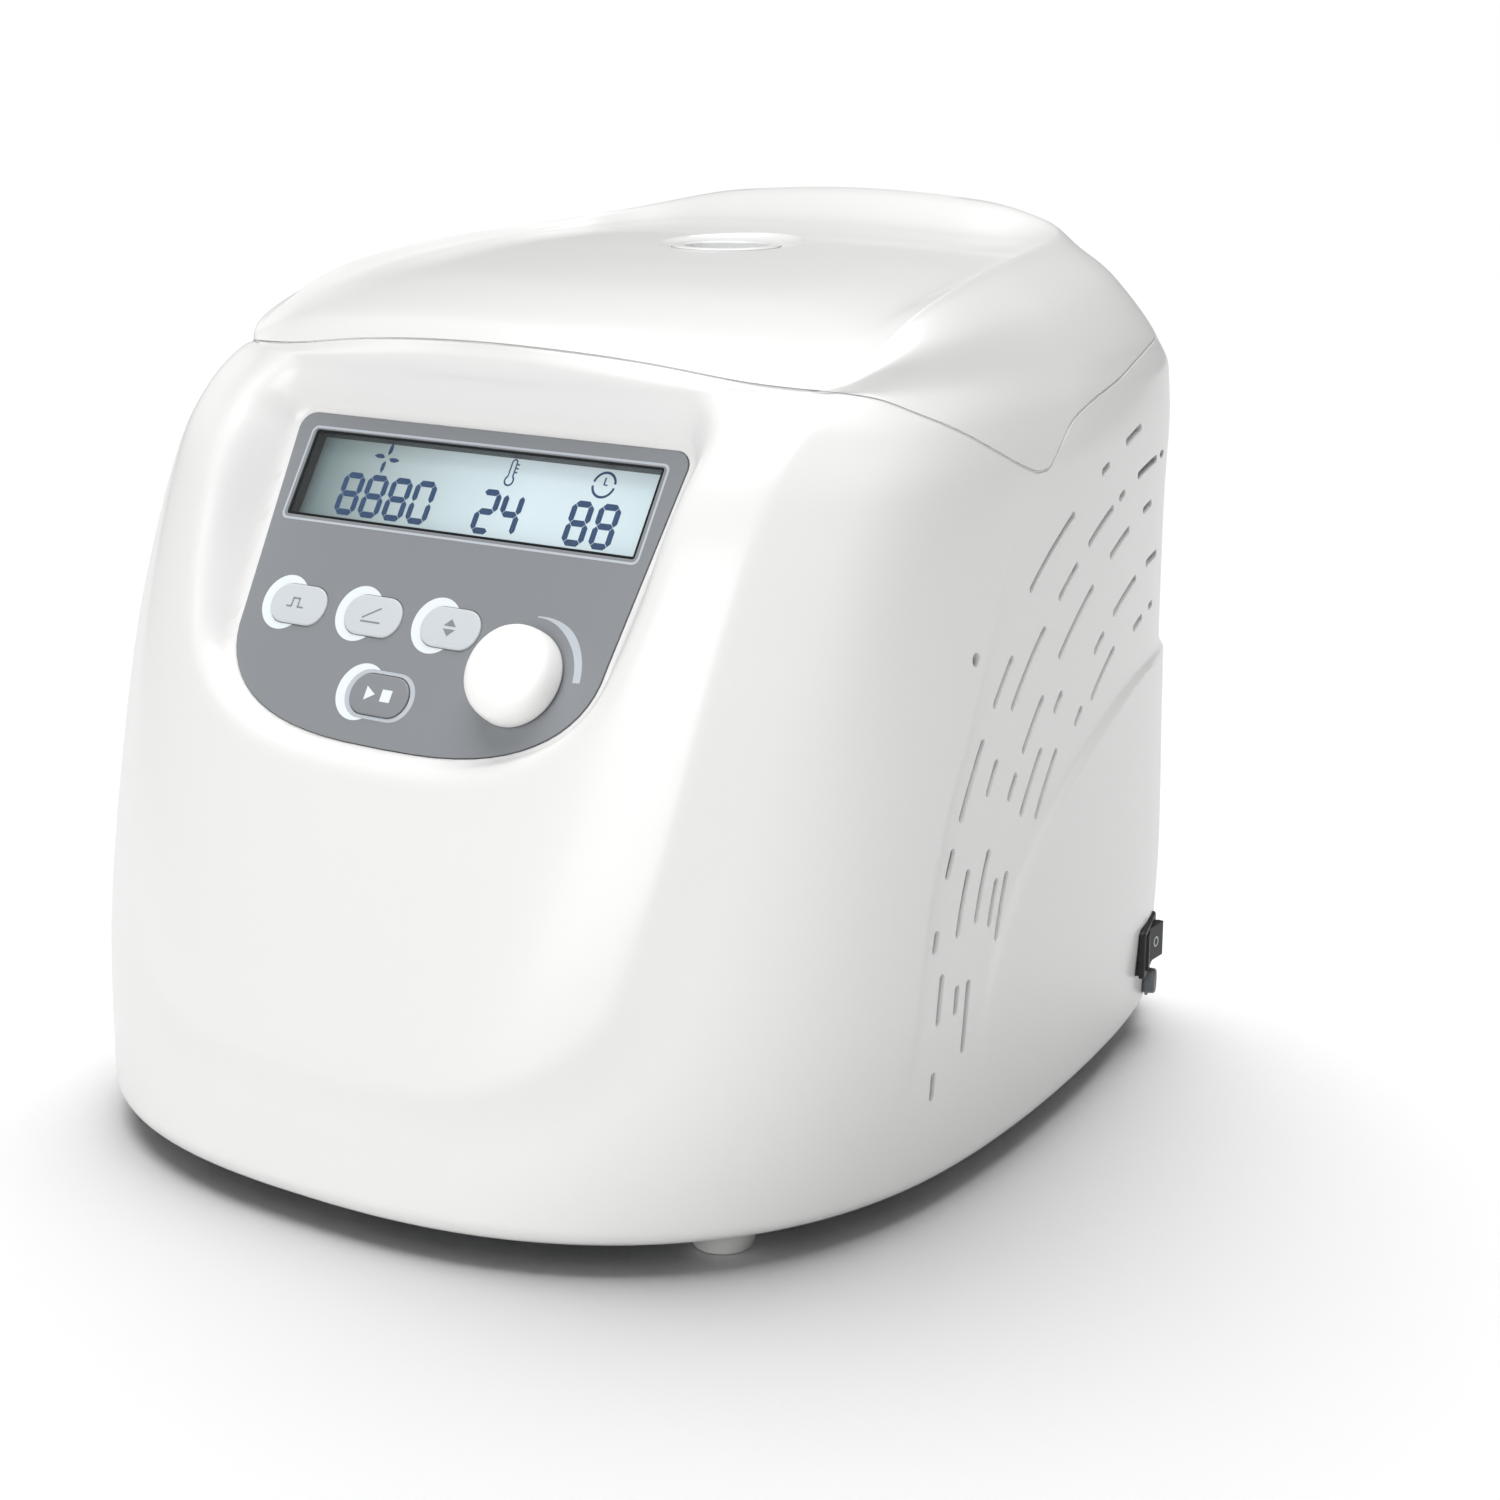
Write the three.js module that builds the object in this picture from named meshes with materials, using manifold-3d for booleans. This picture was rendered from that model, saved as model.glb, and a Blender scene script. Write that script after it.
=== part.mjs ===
// High-speed bench centrifuge with a rear-hinged lid over a 24-place angle rotor. Millimetres.
// +X is the right side of the machine seen by its user, +Y points to its back, +Z is up.
// The origin is on the bench, under the middle of the machine's outline.

import * as THREE from 'three';
import { mergeVertices } from 'three/addons/utils/BufferGeometryUtils.js';
import Module from 'manifold-3d';

const wasm = await Module();
wasm.setup();

// Driving dimensions

const clearance = 0.3;
const overrun = 3;
const tolerance = 0.05;

const size = { half_width: 143, half_depth: 155, height: 268 };
const body = { ...size, shoulder: size.height * 0.8433, floor: 8, wall: 3, seam: 0.8 };
const edge = { drop: 4, inset: 3 };
const spindle = { y: body.half_depth * 0.3355 };
const vent = { depth: 1.8, depth_at_top: 0.8, low: body.shoulder * 0.442, high: body.shoulder * 0.84, slot_width: 2.4 };
const vent_centre = { y: body.half_depth * 0.742, z: body.shoulder * 0.133 };
const haunch = {
  y: body.half_depth * 0.742, z: body.shoulder * 0.177, length: body.half_depth * 0.91, height: body.shoulder * 0.385,
};
const shield = {
  proud: 3.2, fade_low: body.shoulder * 0.84, fade_high: body.shoulder * 0.991, bottom: body.shoulder * 0.186,
  back: body.half_depth * -0.13,
};
const facet = { y: body.half_depth * -0.5277, drop: 43.2, lean: 32, overlay: 1.2, wall: 3, height_over: 22 };
facet.z = body.shoulder - facet.drop;
const panel = { half_top: 71, half_waist: 66.5, top: 32, waist: -32, bottom: -64.6, corner: 5 };
const scoop = { margin: 1, side: 13, top: 12, foot: 5 };
const display = { width: 127, height: 26.6, window: 1, cell: 3.6, frame: 5, rim: 3.5 };
const keypad = { row: -27.4, start_row: -49.9, pitch: 28.6, left: -46.4, start: -5.7 };
const key = { width: 21, height: 12, cap: 0.8, stem: 3, stem_radius: 2.5, travel: 0.5 };
const knob = { x: 40.2, y: -38.6, radius: 15, height: 10, dome: 1.2, skirt: 0.8, bore: 3.15, lift: 0.6 };
const encoder = { shaft: 3, side: 13, depth: 6.5, bush: 4.5, board_gap: 8 };
const control_board = { width: 124, height: 52, thickness: 1.6, top: -6 };

const deck = { drop: 31, thickness: 3, ledge: 4, bowl_gap: 4 };
deck.top = body.shoulder - deck.drop;
deck.ledge_under = body.shoulder - deck.ledge;
const bowl = { radius: 80, wall: 1.6, depth: 69, lip: 87, lip_thickness: 1.4, corner: 12, shaft_hole: 17 };
bowl.floor = deck.top - bowl.depth;
deck.ledge_back = spindle.y - bowl.lip - deck.bowl_gap;
const gasket = { inner: 80.5, outer: 86.5, height: 2.6 };
const sight = { radius: 13, ring: 17, lip: 11.2, thickness: 2.2, dish: 24, dish_depth: 1.2, tube_wall: 1.6 };
const liner = { gap: 1.6, skin: 2.4, boss: 88, boss_wall: 2.4, floor: 2.4 };
const hinge = { inset: 6.4, rise: 1.6, barrel: 3.4, pin: 1.5, place: 52, knuckle: 12, leaf: 2, leaf_front: 72.6, drop: 26 };
hinge.y = body.half_depth - hinge.inset;
hinge.z = body.shoulder + hinge.rise;
hinge.reach = hinge.y - spindle.y - hinge.leaf_front;

const rotor = { radius: 75, gap: 7, height: 46, places: 24, pitch: 47.5, tube: 5.4, depth: 27, mouth_rise: 35 };
rotor.base = bowl.floor + rotor.gap;
rotor.mouth = rotor.base + rotor.mouth_rise;
const rotor_lid = { radius: 64, thickness: 1.8, lip: 3 };
const rotor_nut = { radius: 11, height: 10, lobes: 6, bore: 4.4 };
const shaft = { radius: 5, cone: 11, cone_foot: 15, below: 32, stud: 4, above: 60 };
shaft.base = bowl.floor - shaft.below;
shaft.top = bowl.floor + shaft.above;
const motor = { radius: 40, base: 26, bowl_gap: 22, cap: 34, boss: 13, boss_height: 7 };
motor.top = bowl.floor - motor.bowl_gap;
const mount = { plate_radius: 66, plate: 4, damper_radius: 9, damper_height: 16, pitch: 55, bore: 20 };
const stand = { post: 7, ring: 4, ring_inner: 45, ring_outer: 66 };

const base_plate = { thickness: 3, edge_gap: 0.5 };
const foot = { radius: 10, foot_radius: 8.5, front_in: 39, rear_in: 55, back_in: 43 };
foot.front_x = body.half_width - foot.front_in;
foot.front_y = body.half_depth * -0.632;
foot.rear_x = body.half_width - foot.rear_in;
foot.rear_y = body.half_depth - foot.back_in;
const rear_plate = {
  half_width: body.half_width * 0.5035, low: 24, high: body.shoulder * 0.4956, thickness: 1.5, lip: 4,
  slot: 3, pitch: 8, slots: 10,
};
const inlet = {
  x: body.half_width * 0.308, z: 44, width: 27, height: 20, flange: 5, thickness: 2, depth: 16, blade: 2,
  blade_length: 9,
};
const fuse = { y: body.half_depth * 0.768, z: 16.5, radius: 5, reach: 5, body_radius: 4, body: 14 };
const power_switch = {
  y: body.half_depth * 0.729, z: 31, width: 27, height: 18, rim: 3, thickness: 2, depth: 12, rise: 6, swing: 12,
};
const lock = { ledge_gap: 7.5, width: 30, height: 19, depth: 9, sheet: 1.5, bolt: 8, bolt_thickness: 3, travel: 6 };
lock.y = deck.ledge_back - lock.ledge_gap;
const striker = { width: 14, thickness: 2.4, window: 6.5, drop: 24, tip: 4 };
const solenoid = { radius: 4.1, length: 22 };
const boards = { inset: 43, y: body.half_depth * 0.05, width: 46, length: 96, thickness: 1.6, stand: 7, stand_radius: 3 };
boards.x = body.half_width - boards.inset;
const release = { y: body.half_depth * -0.168, z: body.shoulder * 0.681, radius: 2.5 };
const lid = { open: 75 };

// Outline of the walls, level by level. Each row is: height share of the shoulder, then shares of the
// half width, of the half depth (front, widest place, back), the taper to the back and the fullness
// of the front corners.
const wall_shares = [
  [0.035, 0.979, -1.0078, -0.155, 1.0, 0.2, 2.4],
  [0.265, 1.0, -0.903, -0.077, 1.0, 0.205, 3.0],
  [0.487, 0.99, -0.8, 0.006, 1.0, 0.21, 3.55],
  [0.708, 0.965, -0.687, 0.097, 1.0, 0.2, 4.2],
  [0.885, 0.937, -0.574, 0.2, 1.0, 0.18, 4.5],
  [0.956, 0.909, -0.514, 0.256, 1.0, 0.163, 4.1],
  [1.0, 0.878, -0.452, 0.31, 0.957, 0.15, 3.7],
];

// Stations round half of an outline: turns of the front quarter, shares along the side, shares of the back.
const front_turns = [0, 11, 22, 31, 38, 45, 52, 60, 70, 80, 90];
const side_shares = [0.16, 0.32, 0.48, 0.62, 0.75, 0.85, 0.92, 0.965, 0.992];
const back_shares = [0.7, 0.45, 0.22, 0];
const station_count = front_turns.length + side_shares.length + back_shares.length;
const back_fullness = 10;
const taper_power = 1.7;

// The lid's ridge and the rim of its flat top. Each row is a station, then shares of the half width,
// the half depth and, for the ridge, the height.
const ridge_shares = [
  [0, 0, -0.426, 0.877],
  [4, 0.685, -0.329, 0.849],
  [6, 0.762, -0.245, 0.875],
  [8, 0.759, -0.039, 0.92],
  [10, 0.713, 0.245, 0.944],
  [12, 0.664, 0.49, 0.953],
  [14, 0.608, 0.69, 0.962],
  [16, 0.517, 0.787, 0.974],
  [19, 0.329, 0.823, 0.992],
  [23, 0, 0.829, 1.0],
];
const top_rim_shares = [
  [0, 0, -0.361],
  [4, 0.629, -0.271],
  [6, 0.685, -0.194],
  [8, 0.689, -0.026],
  [10, 0.671, 0.245],
  [12, 0.643, 0.465],
  [14, 0.587, 0.587],
  [16, 0.483, 0.594],
  [19, 0.294, 0.548],
  [23, 0, 0.523],
];
// The lid's flat top along its middle: share of the half depth, then its height and its crown as
// shares of the machine's height.
const top_shares = [
  [-0.45, 0.882, 0.05],
  [-0.26, 0.9125, 0.036],
  [-0.13, 0.9285, 0.026],
  [0, 0.9366, 0.0187],
  [0.155, 0.944, 0.015],
  [0.335, 0.9515, 0.0134],
  [0.523, 0.957, 0.015],
];
const top_half_share = 0.68;

// The seam between lid and housing, seen from the side: shares of the half depth and of the height.
const seam_shares = [
  [-0.7, 0.925],
  [-0.426, 0.8755],
  [-0.32, 0.8435],
  [-0.213, 0.8265],
  [-0.09, 0.8022],
  [0.039, 0.7705],
  [0.116, 0.7444],
  [0.155, 0.7369],
  [0.187, 0.7339],
  [0.22, 0.7398],
  [0.252, 0.7519],
  [0.297, 0.7705],
  [0.4, 0.8004],
  [0.568, 0.8246],
  [0.729, 0.8358],
  [0.87, 0.8433],
  [1.3, 0.8433],
];

// Half of the front shield's U outline, from its foot upwards: shares of the half width and the shoulder.
const shield_shares = [
  [0, 0.186],
  [0.3, 0.196],
  [0.42, 0.216],
  [0.53, 0.252],
  [0.61, 0.305],
  [0.65, 0.4],
  [0.68, 0.52],
  [0.7, 0.65],
  [0.725, 0.83],
  [0.75, 1.05],
];

// The crease where the front wrap meets the vented side: shares of the half depth and the shoulder.
const crease_shares = [
  [-0.4, 0.13],
  [-0.37, 0.25],
  [-0.33, 0.39],
  [-0.25, 0.53],
  [-0.18, 0.61],
  [-0.11, 0.7],
  [-0.02, 0.83],
  [0.1, 1.1],
];

// Vent slots on arcs round one centre: radius, then pairs of turns in degrees from straight ahead. The
// radii are those of a machine of the drawn half depth and shoulder.
const vent_drawn = { half_depth: 155, shoulder: 226 };
const vent_rows = [
  { radius: 175, dashes: [[77, 81.5], [70, 71.4], [52, 62.3]] },
  { radius: 170, dashes: [[40, 45], [28.5, 36], [23, 25.2], [16, 17.5]] },
  { radius: 165, dashes: [[9.1, 13.4], [1.7, 3.8]] },
  { radius: 161, dashes: [[90, 91.2], [80.3, 87.5], [73.8, 75], [64.2, 71.2], [55.6, 60.4], [41.5, 51]] },
  { radius: 160, dashes: [[32.2, 35.4], [17.7, 23.9]] },
  { radius: 157, dashes: [[9.9, 12.2]] },
  { radius: 151.5, dashes: [[19.5, 26.7], [5.6, 12.7]] },
  { radius: 148, dashes: [[82.4, 85.7], [69.2, 75.8], [51.6, 62.6], [39, 45.5], [33.3, 35.8]] },
  { radius: 144, dashes: [[19.3, 24]] },
  { radius: 139, dashes: [[46.5, 48.8], [32.8, 40.7], [17.9, 25.2]] },
  { radius: 130, dashes: [[83.7, 89.6], [67.8, 77.6], [59.6, 62.9], [33.8, 42.8]] },
  { radius: 124, dashes: [[49.2, 51.5]] },
  { radius: 120, dashes: [[55.4, 65.6]] },
  { radius: 115, dashes: [[85.3, 87], [75.8, 80]] },
];

const finishes = {
  white: new THREE.MeshStandardMaterial({ color: '#f3f4f4', roughness: 0.32, metalness: 0 }),
  panel: new THREE.MeshStandardMaterial({ color: '#8e9397', roughness: 0.5, metalness: 0 }),
  key: new THREE.MeshStandardMaterial({ color: '#ccd0d3', roughness: 0.5, metalness: 0 }),
  clear: new THREE.MeshStandardMaterial({ color: '#dfe9ee', roughness: 0.1, metalness: 0, transparent: true, opacity: 0.4 }),
  display: new THREE.MeshStandardMaterial({ color: '#c9dbe0', roughness: 0.4, metalness: 0 }),
  rubber: new THREE.MeshStandardMaterial({ color: '#3a3c3e', roughness: 0.8, metalness: 0 }),
  soft_white: new THREE.MeshStandardMaterial({ color: '#dcdedd', roughness: 0.6, metalness: 0 }),
  black: new THREE.MeshStandardMaterial({ color: '#1b1c1e', roughness: 0.4, metalness: 0 }),
  steel: new THREE.MeshStandardMaterial({ color: '#b5b8ba', roughness: 0.35, metalness: 1 }),
  bright: new THREE.MeshStandardMaterial({ color: '#c9ccd0', roughness: 0.25, metalness: 1 }),
  rotor: new THREE.MeshStandardMaterial({ color: '#9da2a7', roughness: 0.45, metalness: 1 }),
  board: new THREE.MeshStandardMaterial({ color: '#1f6b45', roughness: 0.5, metalness: 0 }),
  grey: new THREE.MeshStandardMaterial({ color: '#6f7375', roughness: 0.5, metalness: 0 }),
};

// Small tools

const radians = THREE.MathUtils.degToRad;
const lerp = THREE.MathUtils.lerp;
const smooth = THREE.MathUtils.smoothstep;

// Smooth values of a table at t. The first column is the key, and no value overshoots its neighbours.
function along(rows, t) {
  const last = rows.length - 1;
  const at = Math.min(Math.max(t, rows[0][0]), rows[last][0]);
  let i = 0;
  while (i < last - 1 && rows[i + 1][0] < at) i += 1;
  const span = rows[i + 1][0] - rows[i][0];
  const u = (at - rows[i][0]) / span;
  const slope = (k, c) => (rows[k + 1][c] - rows[k][c]) / (rows[k + 1][0] - rows[k][0]);
  const tangent = (k, c) => {
    if (k === 0) return slope(0, c);
    if (k === last) return slope(last - 1, c);
    const before = slope(k - 1, c);
    const after = slope(k, c);
    return before * after <= 0 ? 0 : (2 * before * after) / (before + after);
  };
  return rows[0].slice(1).map((_, n) => {
    const c = n + 1;
    const a = rows[i][c];
    const b = rows[i + 1][c];
    const ease = u * u * (3 - 2 * u);
    const start = u * (1 - u) * (1 - u) * span * tangent(i, c);
    const end = u * u * (u - 1) * span * tangent(i + 1, c);
    return a + (b - a) * ease + start + end;
  });
}

function solid(geometry, matrix = new THREE.Matrix4()) {
  const moved = geometry.index ? geometry.clone() : geometry.clone();
  moved.applyMatrix4(matrix);
  moved.deleteAttribute('normal');
  moved.deleteAttribute('uv');
  const merged = mergeVertices(moved, 1e-4);
  return new wasm.Manifold(new wasm.Mesh({
    numProp: 3,
    vertProperties: new Float32Array(merged.attributes.position.array),
    triVerts: new Uint32Array(merged.index.array),
  }));
}

function geometryOf(manifold) {
  const out = manifold.getMesh();
  const geometry = new THREE.BufferGeometry();
  const places = new Float32Array(out.vertProperties.length / out.numProp * 3);
  for (let i = 0; i < places.length / 3; i += 1) {
    for (let c = 0; c < 3; c += 1) places[i * 3 + c] = out.vertProperties[i * out.numProp + c];
  }
  geometry.setAttribute('position', new THREE.BufferAttribute(places, 3));
  geometry.setIndex(new THREE.BufferAttribute(new Uint32Array(out.triVerts), 1));
  geometry.computeVertexNormals();
  return geometry;
}

function part(name, shape, material) {
  const mesh = new THREE.Mesh(geometryOf(shape.simplify(tolerance)), material);
  mesh.name = name;
  return mesh;
}

function shift(x, y, z) {
  return new THREE.Matrix4().makeTranslation(x, y, z);
}

function block(x0, x1, y0, y1, z0, z1) {
  return solid(new THREE.BoxGeometry(x1 - x0, y1 - y0, z1 - z0), shift((x0 + x1) / 2, (y0 + y1) / 2, (z0 + z1) / 2));
}

// A turned shape about +Z through x, y. The profile is pairs of radius and height, closed by the axis
// where it starts and ends there, and otherwise on itself.
function turned(profile, sides = 48, x = 0, y = 0) {
  const points = profile.map(([r, z]) => new THREE.Vector2(r, z));
  const open = profile[0][0] > 0 || profile[profile.length - 1][0] > 0;
  if (open) points.push(points[0].clone());
  const lathe = new THREE.LatheGeometry(points, sides);
  lathe.rotateX(Math.PI / 2);
  const area = points.reduce((sum, p, i) => {
    const q = points[(i + 1) % points.length];
    return sum + p.x * q.y - q.x * p.y;
  }, 0);
  const shape = area > 0 ? lathe : flip(lathe);
  return solid(shape, shift(x, y, 0));
}

function flip(geometry) {
  const index = geometry.index.array;
  for (let i = 0; i < index.length; i += 3) {
    const first = index[i];
    index[i] = index[i + 1];
    index[i + 1] = first;
  }
  return geometry;
}

function rod(radius, z0, z1, x = 0, y = 0, sides = 32) {
  const cylinder = new THREE.CylinderGeometry(radius, radius, z1 - z0, sides);
  cylinder.rotateX(Math.PI / 2);
  return solid(cylinder, shift(x, y, (z0 + z1) / 2));
}

// A flat outline of [u, v] points raised from w0 to w1 in its own frame, then placed by a matrix.
function prism(points, w0, w1, matrix = new THREE.Matrix4()) {
  const outline = new THREE.Shape(points.map(([u, v]) => new THREE.Vector2(u, v)));
  const raised = new THREE.ExtrudeGeometry(outline, { depth: w1 - w0, bevelEnabled: false });
  raised.translate(0, 0, w0);
  return solid(raised, matrix);
}

// Frames: u along +Y and v along +Z, raised along +X; and u along +X and v along +Z, raised along -Y.
const side_frame = new THREE.Matrix4().makeBasis(
  new THREE.Vector3(0, 1, 0), new THREE.Vector3(0, 0, 1), new THREE.Vector3(1, 0, 0));
const front_frame = new THREE.Matrix4().makeBasis(
  new THREE.Vector3(1, 0, 0), new THREE.Vector3(0, 0, 1), new THREE.Vector3(0, -1, 0));

function ringSolid(rings) {
  const count = rings[0].length;
  const places = rings.flat(2);
  const index = [];
  for (let k = 0; k < rings.length - 1; k += 1) {
    for (let i = 0; i < count; i += 1) {
      const j = (i + 1) % count;
      const a = k * count + i;
      const b = k * count + j;
      index.push(a, b, b + count, a, b + count, a + count);
    }
  }
  for (const [ring, turn] of [[0, 1], [rings.length - 1, 0]]) {
    const middle = places.length / 3;
    const points = rings[ring];
    for (let c = 0; c < 3; c += 1) places.push(points.reduce((sum, p) => sum + p[c], 0) / count);
    for (let i = 0; i < count; i += 1) {
      const a = ring * count + i;
      const b = ring * count + (i + 1) % count;
      index.push(middle, turn ? b : a, turn ? a : b);
    }
  }
  const geometry = new THREE.BufferGeometry();
  geometry.setAttribute('position', new THREE.Float32BufferAttribute(places, 3));
  geometry.setIndex(index);
  return solid(geometry);
}

// The same half outline with fewer stations, for hidden faces.
function plainer(half) {
  return half.filter((_, i) => i % 2 === 0 || i === half.length - 1);
}

// A half outline, from front middle to back middle, closed by its mirror image.
function closed(half) {
  const other = half.slice(1, -1).reverse().map(([x, y, z]) => [-x, y, z]);
  return [...half, ...other];
}

// The machine's outer skin

// Half outline of the walls at one height, drawn in by an inset.
function wallHalf(z, inset = 0) {
  const [wide, front, widest, back, taper, fullness] = along(wall_shares, z / body.shoulder);
  const w = wide * body.half_width - inset;
  const y_front = front * body.half_depth + inset;
  const y_wide = widest * body.half_depth;
  const y_back = back * body.half_depth - inset;
  const half = front_turns.map((turn) => {
    const a = radians(turn);
    const out = Math.pow(Math.sin(a), 2 / fullness);
    const ahead = Math.pow(Math.max(Math.cos(a), 0), 2 / fullness);
    return [w * out, y_wide - (y_wide - y_front) * ahead, z];
  });
  half[half.length - 1] = [w, y_wide, z];
  const side = (s) => 1 - taper * Math.pow(s, taper_power);
  for (const s of side_shares) {
    const round = Math.pow(1 - Math.pow(s, back_fullness), 1 / back_fullness);
    half.push([w * side(s) * round, y_wide + (y_back - y_wide) * s, z]);
  }
  for (const share of back_shares) {
    const s = Math.pow(1 - Math.pow(share, back_fullness), 1 / back_fullness);
    half.push([w * side(s) * share, y_wide + (y_back - y_wide) * s, z]);
  }
  return half;
}

// Where the right wall stands at a place along the side: its x and the turn of its outward normal.
function wallAt(y, z, inset = 0) {
  const half = wallHalf(z, inset);
  const first = front_turns.length - 1;
  let i = first;
  while (i < station_count - back_shares.length - 2 && half[i + 1][1] < y) i += 1;
  const a = half[i];
  const b = half[i + 1];
  const share = (y - a[1]) / (b[1] - a[1]);
  return { x: lerp(a[0], b[0], share), turn: Math.atan2(a[0] - b[0], b[1] - a[1]) };
}

function lidTop(x, y) {
  const [height, crown] = along(top_shares, y / body.half_depth);
  const across = x / (top_half_share * body.half_width);
  return body.height * (height - crown * across * across);
}

function seamHeight(y) {
  return body.height * along(seam_shares, y / body.half_depth)[0];
}

function drawnIn(half, inset) {
  if (inset === 0) return half;
  const middle = body.half_depth * top_shares[4][0];
  return half.map(([x, y, z]) => {
    const reach = Math.hypot(x, y - middle);
    return [x - inset * x / reach, y - inset * (y - middle) / reach, z - inset];
  });
}

const lid_bulge_share = 0.022;
const back_sag_share = 0.011;
const plateau_shares = [0.66, 0.28];

function lidRings(inset) {
  const stations = Array.from({ length: station_count }, (_, i) => i);
  const foot = wallHalf(body.shoulder, 0);
  const ridge = stations.map((i) => {
    const [x, y, z] = along(ridge_shares, i);
    return [x * body.half_width, y * body.half_depth, z * body.height];
  });
  const rim = stations.map((i) => {
    const [x, y] = along(top_rim_shares, i);
    const place = [x * body.half_width, y * body.half_depth];
    return [...place, lidTop(...place)];
  });
  const middle = body.half_depth * top_shares[4][0];
  const cheek = stations.map((i) => {
    const bulge = lid_bulge_share * body.half_width * smooth(i, 4, 7);
    const mid = foot[i].map((v, c) => (v + ridge[i][c]) / 2);
    const reach = Math.hypot(mid[0], mid[1] - middle);
    return [mid[0] * (1 + bulge / reach), middle + (mid[1] - middle) * (1 + bulge / reach), mid[2] + bulge / 2];
  });
  const slope = stations.map((i) => {
    const sag = back_sag_share * body.height * smooth(i, 14, 17);
    return ridge[i].map((v, c) => (v + rim[i][c]) / 2 - (c === 2 ? sag : 0));
  });
  const hub = [0, middle];
  const plateau = plateau_shares.map((share) => rim.map(([x, y]) => {
    const place = [hub[0] + (x - hub[0]) * share, hub[1] + (y - hub[1]) * share];
    return [...place, lidTop(...place)];
  }));
  return [cheek, ridge, slope, rim, ...plateau].map((half) => drawnIn(half, inset));
}

const wall_levels_share = [0.15, 0.29, 0.43, 0.58, 0.72, 0.84, 0.93, 1.0];
const room_levels_share = [0.29, 0.58, 0.84, 1.0];

// The walls as a solid from one height to another, drawn in by an inset that may change with height.
function walls(z0, z1, inset) {
  const inside = wall_levels_share.map((share) => share * body.shoulder).filter((z) => z > z0 + 1 && z < z1 - 1);
  const levels = [z0, ...inside, z1];
  return ringSolid(levels.map((z) => closed(wallHalf(z, inset(z)))));
}

// The room inside the walls, with plainer faces. Its rim at the bottom is as narrow as the base plate's seat.
const rim_inset = body.wall + edge.inset;

function room(z0, z1, inset) {
  const rim = body.floor + edge.drop;
  const inside = room_levels_share.map((share) => share * body.shoulder).filter((z) => z > z0 + 1 && z < z1 - 1);
  const levels = [z0, ...(z0 < rim ? [rim, rim + edge.drop] : []), ...inside, z1];
  return ringSolid(levels.map((z) => closed(plainer(wallHalf(z, z > rim ? inset : rim_inset)))));
}

// The whole outer form, walls and lid, with a soft bottom edge.
function envelope() {
  const bottom = body.floor + edge.drop;
  const low = closed(wallHalf(body.floor, edge.inset));
  const levels = wall_levels_share.map((share) => share * body.shoulder);
  const rings = [bottom, ...levels].map((z) => closed(wallHalf(z)));
  return ringSolid([low, ...rings, ...lidRings(0).map(closed)]);
}

// The room inside the lid, with plainer faces.
function lidRoom(inset) {
  const levels = wall_levels_share.slice(-3).map((share) => share * body.shoulder);
  const rings = levels.map((z) => plainer(wallHalf(z, inset)));
  return ringSolid([...rings, ...lidRings(inset).map(plainer)].map(closed));
}

function wideBlock(y0, y1, z0, z1) {
  const x = body.half_width + overrun;
  return block(-x, x, y0, y1, z0, z1);
}

// Everything above the seam, moved up or down by an offset.
function aboveSeam(offset) {
  const rows = seam_shares.map(([y, z]) => [y * body.half_depth, z * body.height + offset]);
  const roof = body.height + overrun;
  const outline = [...rows, [rows[rows.length - 1][0], roof], [rows[0][0], roof]];
  const reach = body.half_width + overrun;
  return prism(outline, -reach, reach, side_frame);
}

// The front shield: a raised face inside a U outline.
function shieldBody() {
  const right = shield_shares.map(([x, z]) => [x * body.half_width, z * body.shoulder]);
  const left = right.slice(1).reverse().map(([x, z]) => [-x, z]);
  const outline = [...left, ...right];
  const front = body.half_depth + overrun * 2;
  const column = prism(outline, -shield.back - 0, front, front_frame);
  const proud = (z) => -shield.proud * (1 - smooth(z, shield.fade_low, shield.fade_high));
  const skin = walls(body.floor + edge.drop, body.shoulder, proud);
  return skin.intersect(column);
}

// The shallow crescent on each side that carries the vent slots.
function ventCrescent() {
  const crease = crease_shares.map(([y, z]) => [y * body.half_depth, z * body.shoulder]);
  const arc = [];
  const turns = 14;
  for (let i = 0; i <= turns; i += 1) {
    const a = lerp(radians(4), radians(92), i / turns);
    arc.push([haunch.y - haunch.length * Math.cos(a), haunch.z + haunch.height * Math.sin(a)]);
  }
  const back = body.half_depth + overrun;
  const roof = crease[crease.length - 1][1];
  const outline = [...arc, [back, arc[turns][1]], [back, roof], ...crease.slice().reverse()];
  const reach = body.half_width + overrun;
  const column = prism(outline, -reach, reach, side_frame);
  const inset = (z) => lerp(vent.depth, vent.depth_at_top, smooth(z, vent.low, vent.high));
  const core = walls(body.floor, body.shoulder, inset);
  return column.subtract(core);
}

const vent_stretch = { y: body.half_depth / vent_drawn.half_depth, z: body.shoulder / vent_drawn.shoulder };

// A slot with rounded ends along an arc round the vent centre, as an outline in the side frame.
function dashOutline(radius, from, to) {
  const half = vent.slot_width / 2;
  const steps = Math.max(1, Math.round((to - from) / 7));
  const at = (r, a) => [vent_centre.y - r * Math.cos(a) * vent_stretch.y, vent_centre.z + r * Math.sin(a) * vent_stretch.z];
  const outer = [];
  const inner = [];
  for (let i = 0; i <= steps; i += 1) {
    const a = radians(lerp(from, to, i / steps));
    outer.push(at(radius + half, a));
    inner.push(at(radius - half, a));
  }
  const tip = half / radius;
  return [at(radius, radians(from) - tip), ...inner, at(radius, radians(to) + tip), ...outer.reverse()].reverse();
}

function ventSlots() {
  const reach = body.half_width + overrun;
  const tools = [];
  for (const row of vent_rows) {
    for (const [from, to] of row.dashes) {
      tools.push(prism(dashOutline(row.radius, from, to), -reach, reach, side_frame));
    }
  }
  return wasm.Manifold.union(tools);
}

// The leaning facet that carries the control panel

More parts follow.
